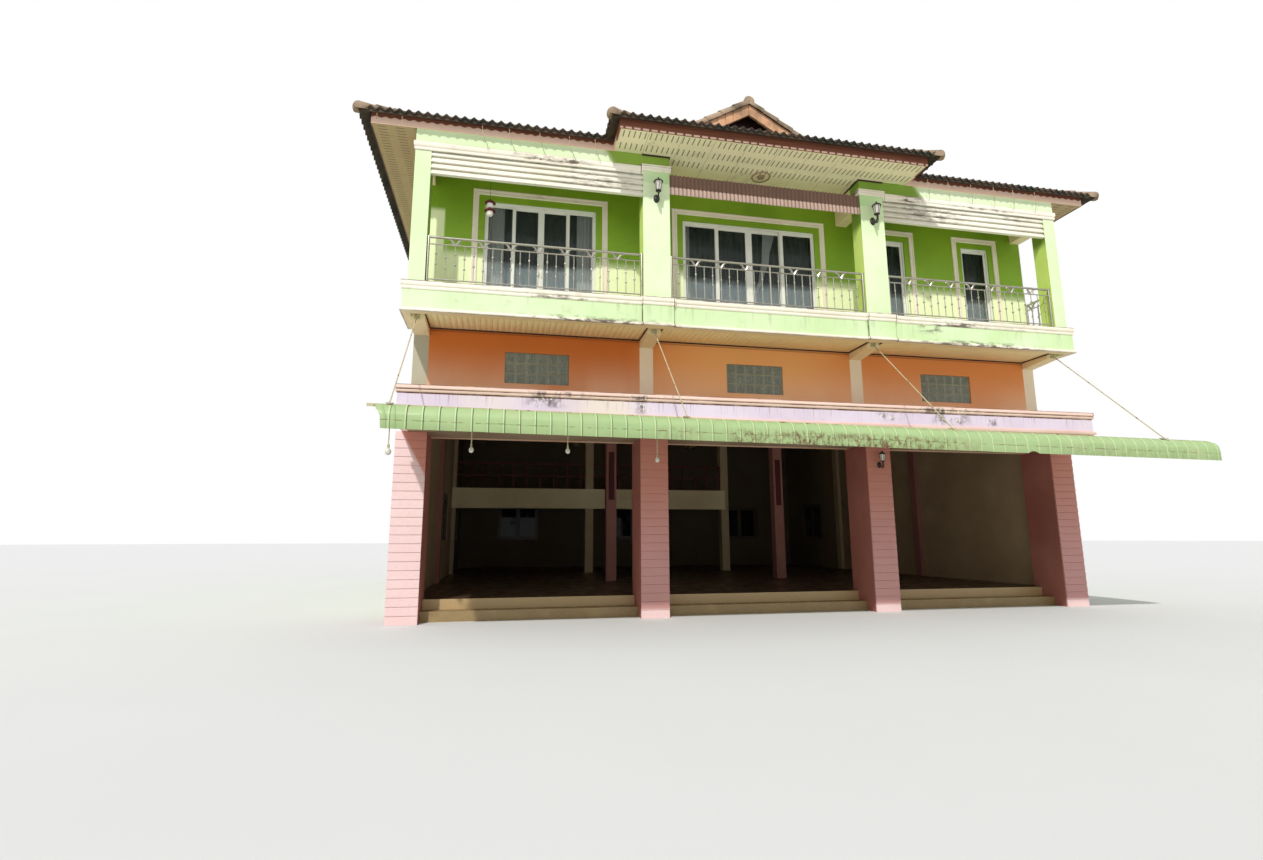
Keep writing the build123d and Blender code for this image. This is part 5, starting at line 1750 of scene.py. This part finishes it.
def add_wall_lantern(metal, glass, x, y, z, scale):
    """A lantern that stands on a curled arm from its wall plate, with a capped and caged glass."""
    place = Vector((x, y, z))

    def at(out, rise, across=0.0):
        return place + scale * Vector((across, -out, rise))

    rings = []
    for out, radius in ((0.0, 0.045), (0.008, 0.045), (0.014, 0.032), (0.02, 0.026)):
        turns = [2 * math.pi * step / 16 for step in range(16)]
        rings.append([at(out, 1.4 * radius * math.sin(turn), radius * math.cos(turn)) for turn in turns])
    add_loft(metal, rings)
    arm = [(0.015, 0.0), (0.045, -0.035), (0.085, -0.045), (0.118, -0.025), (0.125, 0.02), (0.125, 0.05)]
    add_tube(
        metal, [at(out, rise) for out, rise in arm],
        [scale * size for size in (0.013, 0.012, 0.012, 0.012, 0.013, 0.014)]
    )
    curl = [(0.07, -0.046), (0.105, -0.075), (0.135, -0.07), (0.15, -0.045), (0.14, -0.022), (0.122, -0.028)]
    add_tube(
        metal, [at(out, rise) for out, rise in curl],
        [scale * size for size in (0.009, 0.01, 0.01, 0.009, 0.008, 0.005)], 6
    )
    curl = [(0.125, 0.0), (0.152, -0.012), (0.16, 0.01), (0.147, 0.02)]
    add_tube(
        metal, [at(out, rise) for out, rise in curl],
        [scale * size for size in (0.008, 0.0075, 0.007, 0.005)], 6
    )
    base = at(0.125, 0.05)

    def turned(bm, outline, sides=16):
        add_turned(bm, base, [(scale * out, scale * rise) for out, rise in outline], sides)

    turned(metal, [(0.012, -0.012), (0.026, -0.004), (0.04, 0.0), (0.042, 0.012), (0.034, 0.016)])
    turned(glass, [(0.031, 0.014), (0.04, 0.06), (0.05, 0.13), (0.053, 0.142)], 18)
    turned(metal, [
        (0.05, 0.14), (0.07, 0.143), (0.068, 0.15), (0.05, 0.166), (0.026, 0.184), (0.012, 0.192),
        (0.013, 0.202),
        (0.005, 0.214),
    ])
    for step in range(6):
        turn = 2 * math.pi * (step + 0.5) / 6
        around = Vector((math.cos(turn), math.sin(turn), 0.0))
        low = base + scale * (0.034 * around + Vector((0, 0, 0.012)))
        high = base + scale * (0.056 * around + Vector((0, 0, 0.143)))
        add_tube(metal, [low, high], 0.0036 * scale, 6)


def lamps():
    """Wall lanterns on the pillars, and bulbs on stems below the awning."""
    metal = bmesh.new()
    glass = bmesh.new()
    for x in (-x_middle, x_middle):
        add_wall_lantern(metal, glass, x, pillar_front, lantern_height, 1.25)
    add_wall_lantern(metal, glass, x_middle, front - 0.569, ground_lantern_height, 0.95)
    stems = bmesh.new()
    for number, (x, drop) in enumerate(bulbs):
        size = 1.25 if number == 0 else 1.0
        y = canopy_front - 0.75
        fall = awning_fall * (x - awning_x) / (awning_end - awning_x)
        top = awning_root - 0.75 * awning_drop / awning_reach - 0.044 - fall
        bulb = top - drop
        add_tube(stems, [(x, y, top + 0.01), (x, y, bulb + 0.05 * size)], 0.008, 8)
        add_turned(stems, (x, y, top), [(0.02, -0.045), (0.024, -0.01), (0.02, 0.006)], 12)
        collar = [(0.013, 0.012), (0.015, 0.03), (0.015, 0.05), (0.006, 0.06)]
        add_turned(stems, (x, y, bulb), [(size * out, size * rise) for out, rise in collar], 12)
        globe = [
            (0.008, -0.066), (0.024, -0.058), (0.034, -0.036), (0.034, -0.02), (0.026, 0.0), (0.014, 0.014)
        ]
        add_turned(glass, (x, y, bulb), [(size * out, size * rise) for out, rise in globe], 18)
    piece("lamp_metalwork", metal, materials["lamp_metal"], ("lamps",))
    piece("lamp_stems", stems, materials["steel_paint"])
    piece("lamp_glasses", glass, materials["lamp_glass"])


def hanging_ornament():
    """A small two-tier ornament on a chain below the left bay's eaves."""
    x, y = -5.05, front - 0.569
    chain = bmesh.new()
    bottom = 7.17
    links = 46
    for number in range(links):
        height = bottom + (eaves - bottom) * number / links
        turn = math.pi / 2 * (number % 2)
        points = []
        for step in range(9):
            angle = 2 * math.pi * step / 8
            out = 0.006 * math.cos(angle)
            points.append(
                (x + out * math.cos(turn), y + out * math.sin(turn), height + 0.011 + 0.013 * math.sin(angle))
            )
        add_tube(chain, points, 0.0016, 5)
    for number in range(7):
        add_turned(chain, (x, y, 6.82 - 0.045 * number), [(0.003, -0.014), (0.012, 0.0), (0.003, 0.014)], 8)
        add_tube(chain, [(x, y, 6.82 - 0.045 * number), (x, y, 6.775 - 0.045 * number)], 0.0018, 5)
    piece("ornament_chain", chain, materials["lamp_metal"])
    tiers = bmesh.new()
    for height in (7.06, 6.91):
        add_turned(tiers, (x, y, height), [
            (0.02, 0.1), (0.03, 0.095), (0.07, 0.06), (0.095, 0.04), (0.09, 0.03), (0.06, 0.03), (0.05, 0.02),
        ], 12)
        for step in range(6):
            turn = 2 * math.pi * step / 6
            corner = (x + 0.09 * math.cos(turn), y + 0.09 * math.sin(turn))
            add_tube(tiers, [(*corner, height + 0.036), (*corner, height + 0.0)], [0.007, 0.002], 6)
    piece("ornament_tiers", tiers, materials["lantern_red"])
    bodies = bmesh.new()
    for height in (7.06, 6.91):
        add_turned(
            bodies, (x, y, height),
            [(0.048, 0.03), (0.058, 0.01), (0.055, -0.03), (0.035, -0.055), (0.01, -0.06)], 12
        )
    piece("ornament_bodies", bodies, materials["white_sheet"])


# Small parts

def eaves_wires():
    """Thin wires that hang from the eaves board and bend back to the moulding below it."""
    bm = bmesh.new()
    edge = roof_front - 0.004
    wall_y = pillar_front - 0.028
    for x in (-5.207, -4.758, -4.242, -3.731, -3.28, 3.28, 3.731, 4.242, 4.758, 5.207, 5.72):
        points = [
            (x, edge, 8.21), (x + 0.01, edge, 8.1), (x + 0.04, edge + 0.03, 7.99),
            (x + 0.09, edge + 0.09, 7.91)
        ]
        add_tube(bm, points + [(x + 0.13, wall_y, 7.885)], 0.0045, 5)
    for x in (-6.895, -6.5):
        add_tube(bm, [(x, edge, 8.21), (x, edge, 8.12), (x + 0.02, edge + 0.02, 8.06)], 0.004, 5)
    piece("eaves_wires", bm, materials["steel_paint"])


def eaves_trim():
    """Dark strips where the beams and pillars meet the boards of the eaves, and a round lamp base."""
    bm = bmesh.new()
    low = eaves - 0.028
    for side in (-1, 1):
        pillar = (middle_x_inner, middle_x_outer)
        x = sorted((side * (pillar[0] - 0.016), side * (pillar[1] + 0.016)))
        add_block(bm, x, (pillar_front - 0.016, pillar_front), (low, eaves))
        x = sorted((side * (pillar[0] - 0.016), side * pillar[0]))
        add_block(bm, x, (pillar_front, front), (low, eaves))
        x = sorted((side * corner_x, side * (corner_x + 0.016)))
        add_block(bm, x, (pillar_front, back), (low, eaves))
    add_block(bm, (-middle_x_inner, middle_x_inner), (front - 0.016, front), (low, eaves))
    piece("eaves_trim", bm, materials["dark_timber"])
    bm = bmesh.new()
    centre = Vector((0.0, -6.645, eaves - 0.012))
    points = []
    for step in range(33):
        turn = 2 * math.pi * step / 32
        points.append(centre + Vector((0.17 * math.cos(turn), 0.17 * math.sin(turn), 0.0)))
    add_tube(bm, points, 0.012, 8)
    add_turned(bm, centre, [(0.06, -0.02), (0.07, 0.0), (0.075, 0.012)], 24)
    piece("eaves_lamp_ring", bm, materials["canopy_ceiling"])


def column_strips():
    """Plain red strips on the front row of the shop's columns."""
    bm = bmesh.new()
    for x, top in ((-x_middle, 3.37), (x_middle, 3.27)):
        add_block(bm, (x - 0.07, x + 0.07), (-2.126, -2.12), (top - 1.15, top), 0.001)
    piece("column_strips", bm, materials["lantern_red"])


# Stage, lights and camera

def make_floor():
    """A plain pale floor."""
    bm = bmesh.new()
    reach = 260.0
    add_grid(bm, [[(-reach, y, 0.0), (reach, y, 0.0)] for y in (-reach, reach)])
    mesh = bpy.data.meshes.new("floor")
    bm.to_mesh(mesh)
    bm.free()
    surface = Surface("pale_floor", 0.85)
    surface.colour(surface.mix(surface.noise(0.4, detail=3.0), (0.74, 0.74, 0.73), (0.7, 0.7, 0.69)))
    surface.bump(surface.noise(30.0, detail=2.0), 0.001, 0.2)
    mesh.materials.append(surface.material)
    floor = bpy.data.objects.new("floor", mesh)
    bpy.context.scene.collection.objects.link(floor)


def make_light():
    """A soft sun from the front left, and an even pale sky that the camera sees as white."""
    lamp = bpy.data.lights.new("key", "SUN")
    lamp.energy = 2.5
    lamp.angle = math.radians(1.5)
    lamp.color = (1.0, 0.98, 0.95)
    key = bpy.data.objects.new("key", lamp)
    key.rotation_euler = Vector((0.48, 1.0, -1.12)).to_track_quat("-Z", "Y").to_euler()
    bpy.context.scene.collection.objects.link(key)
    world = bpy.data.worlds.new("studio")
    world.use_nodes = True
    bpy.context.scene.world = world
    tree = world.node_tree
    tree.nodes.clear()
    path = tree.nodes.new("ShaderNodeLightPath")
    seen = None
    for name in ("Is Camera Ray", "Is Glossy Ray", "Is Transmission Ray"):
        if seen is None:
            seen = path.outputs[name]
            continue
        either = tree.nodes.new("ShaderNodeMath")
        either.operation = "MAXIMUM"
        tree.links.new(seen, either.inputs[0])
        tree.links.new(path.outputs[name], either.inputs[1])
        seen = either.outputs[0]
    light = tree.nodes.new("ShaderNodeBackground")
    light.inputs["Color"].default_value = (0.93, 0.96, 1.0, 1.0)
    light.inputs["Strength"].default_value = 0.62
    white = tree.nodes.new("ShaderNodeBackground")
    white.inputs["Color"].default_value = (1.0, 1.0, 1.0, 1.0)
    white.inputs["Strength"].default_value = 1.0
    either = tree.nodes.new("ShaderNodeMixShader")
    output = tree.nodes.new("ShaderNodeOutputWorld")
    tree.links.new(seen, either.inputs[0])
    tree.links.new(light.outputs[0], either.inputs[1])
    tree.links.new(white.outputs[0], either.inputs[2])
    tree.links.new(either.outputs[0], output.inputs["Surface"])
    bpy.context.scene.view_settings.view_transform = "Standard"


def make_camera():
    """A wide camera at eye height in front of the left bay, tilted up a little."""
    place = Vector((-4.651, -17.074, 1.288))
    yaw = math.radians(11.3705)
    pitch = math.radians(9.8143)
    roll = math.radians(-0.18)
    ahead = Vector((math.sin(yaw) * math.cos(pitch), math.cos(yaw) * math.cos(pitch), math.sin(pitch)))
    level = Vector((math.cos(yaw), -math.sin(yaw), 0.0))
    upright = level.cross(ahead)
    right = math.cos(roll) * level + math.sin(roll) * upright
    up = -math.sin(roll) * level + math.cos(roll) * upright
    lens = bpy.data.cameras.new("camera")
    lens.sensor_fit = "HORIZONTAL"
    lens.sensor_width = 36.0
    lens.lens = 36.0 * 631.488 / 1263
    lens.clip_end = 600.0
    camera = bpy.data.objects.new("camera", lens)
    turn = Matrix((right, up, -ahead)).transposed()
    camera.matrix_world = Matrix.Translation(place) @ turn.to_4x4()
    bpy.context.scene.collection.objects.link(camera)
    bpy.context.scene.camera = camera


dress_nodes()
main_tiles()
porch_tiles()
ridge_tiles()
balcony_mouldings()
cap_mouldings()
door_surrounds()
canopy_and_parapet()
awning()
railings()
sunshade_slats()
ribbed_blind()
ground_pillars()
glass_blocks()
balcony_ceiling()
balcony_doors()
curtains()
lamps()
hanging_ornament()
eaves_trim()
eaves_wires()
column_strips()
make_floor()
make_light()
make_camera()
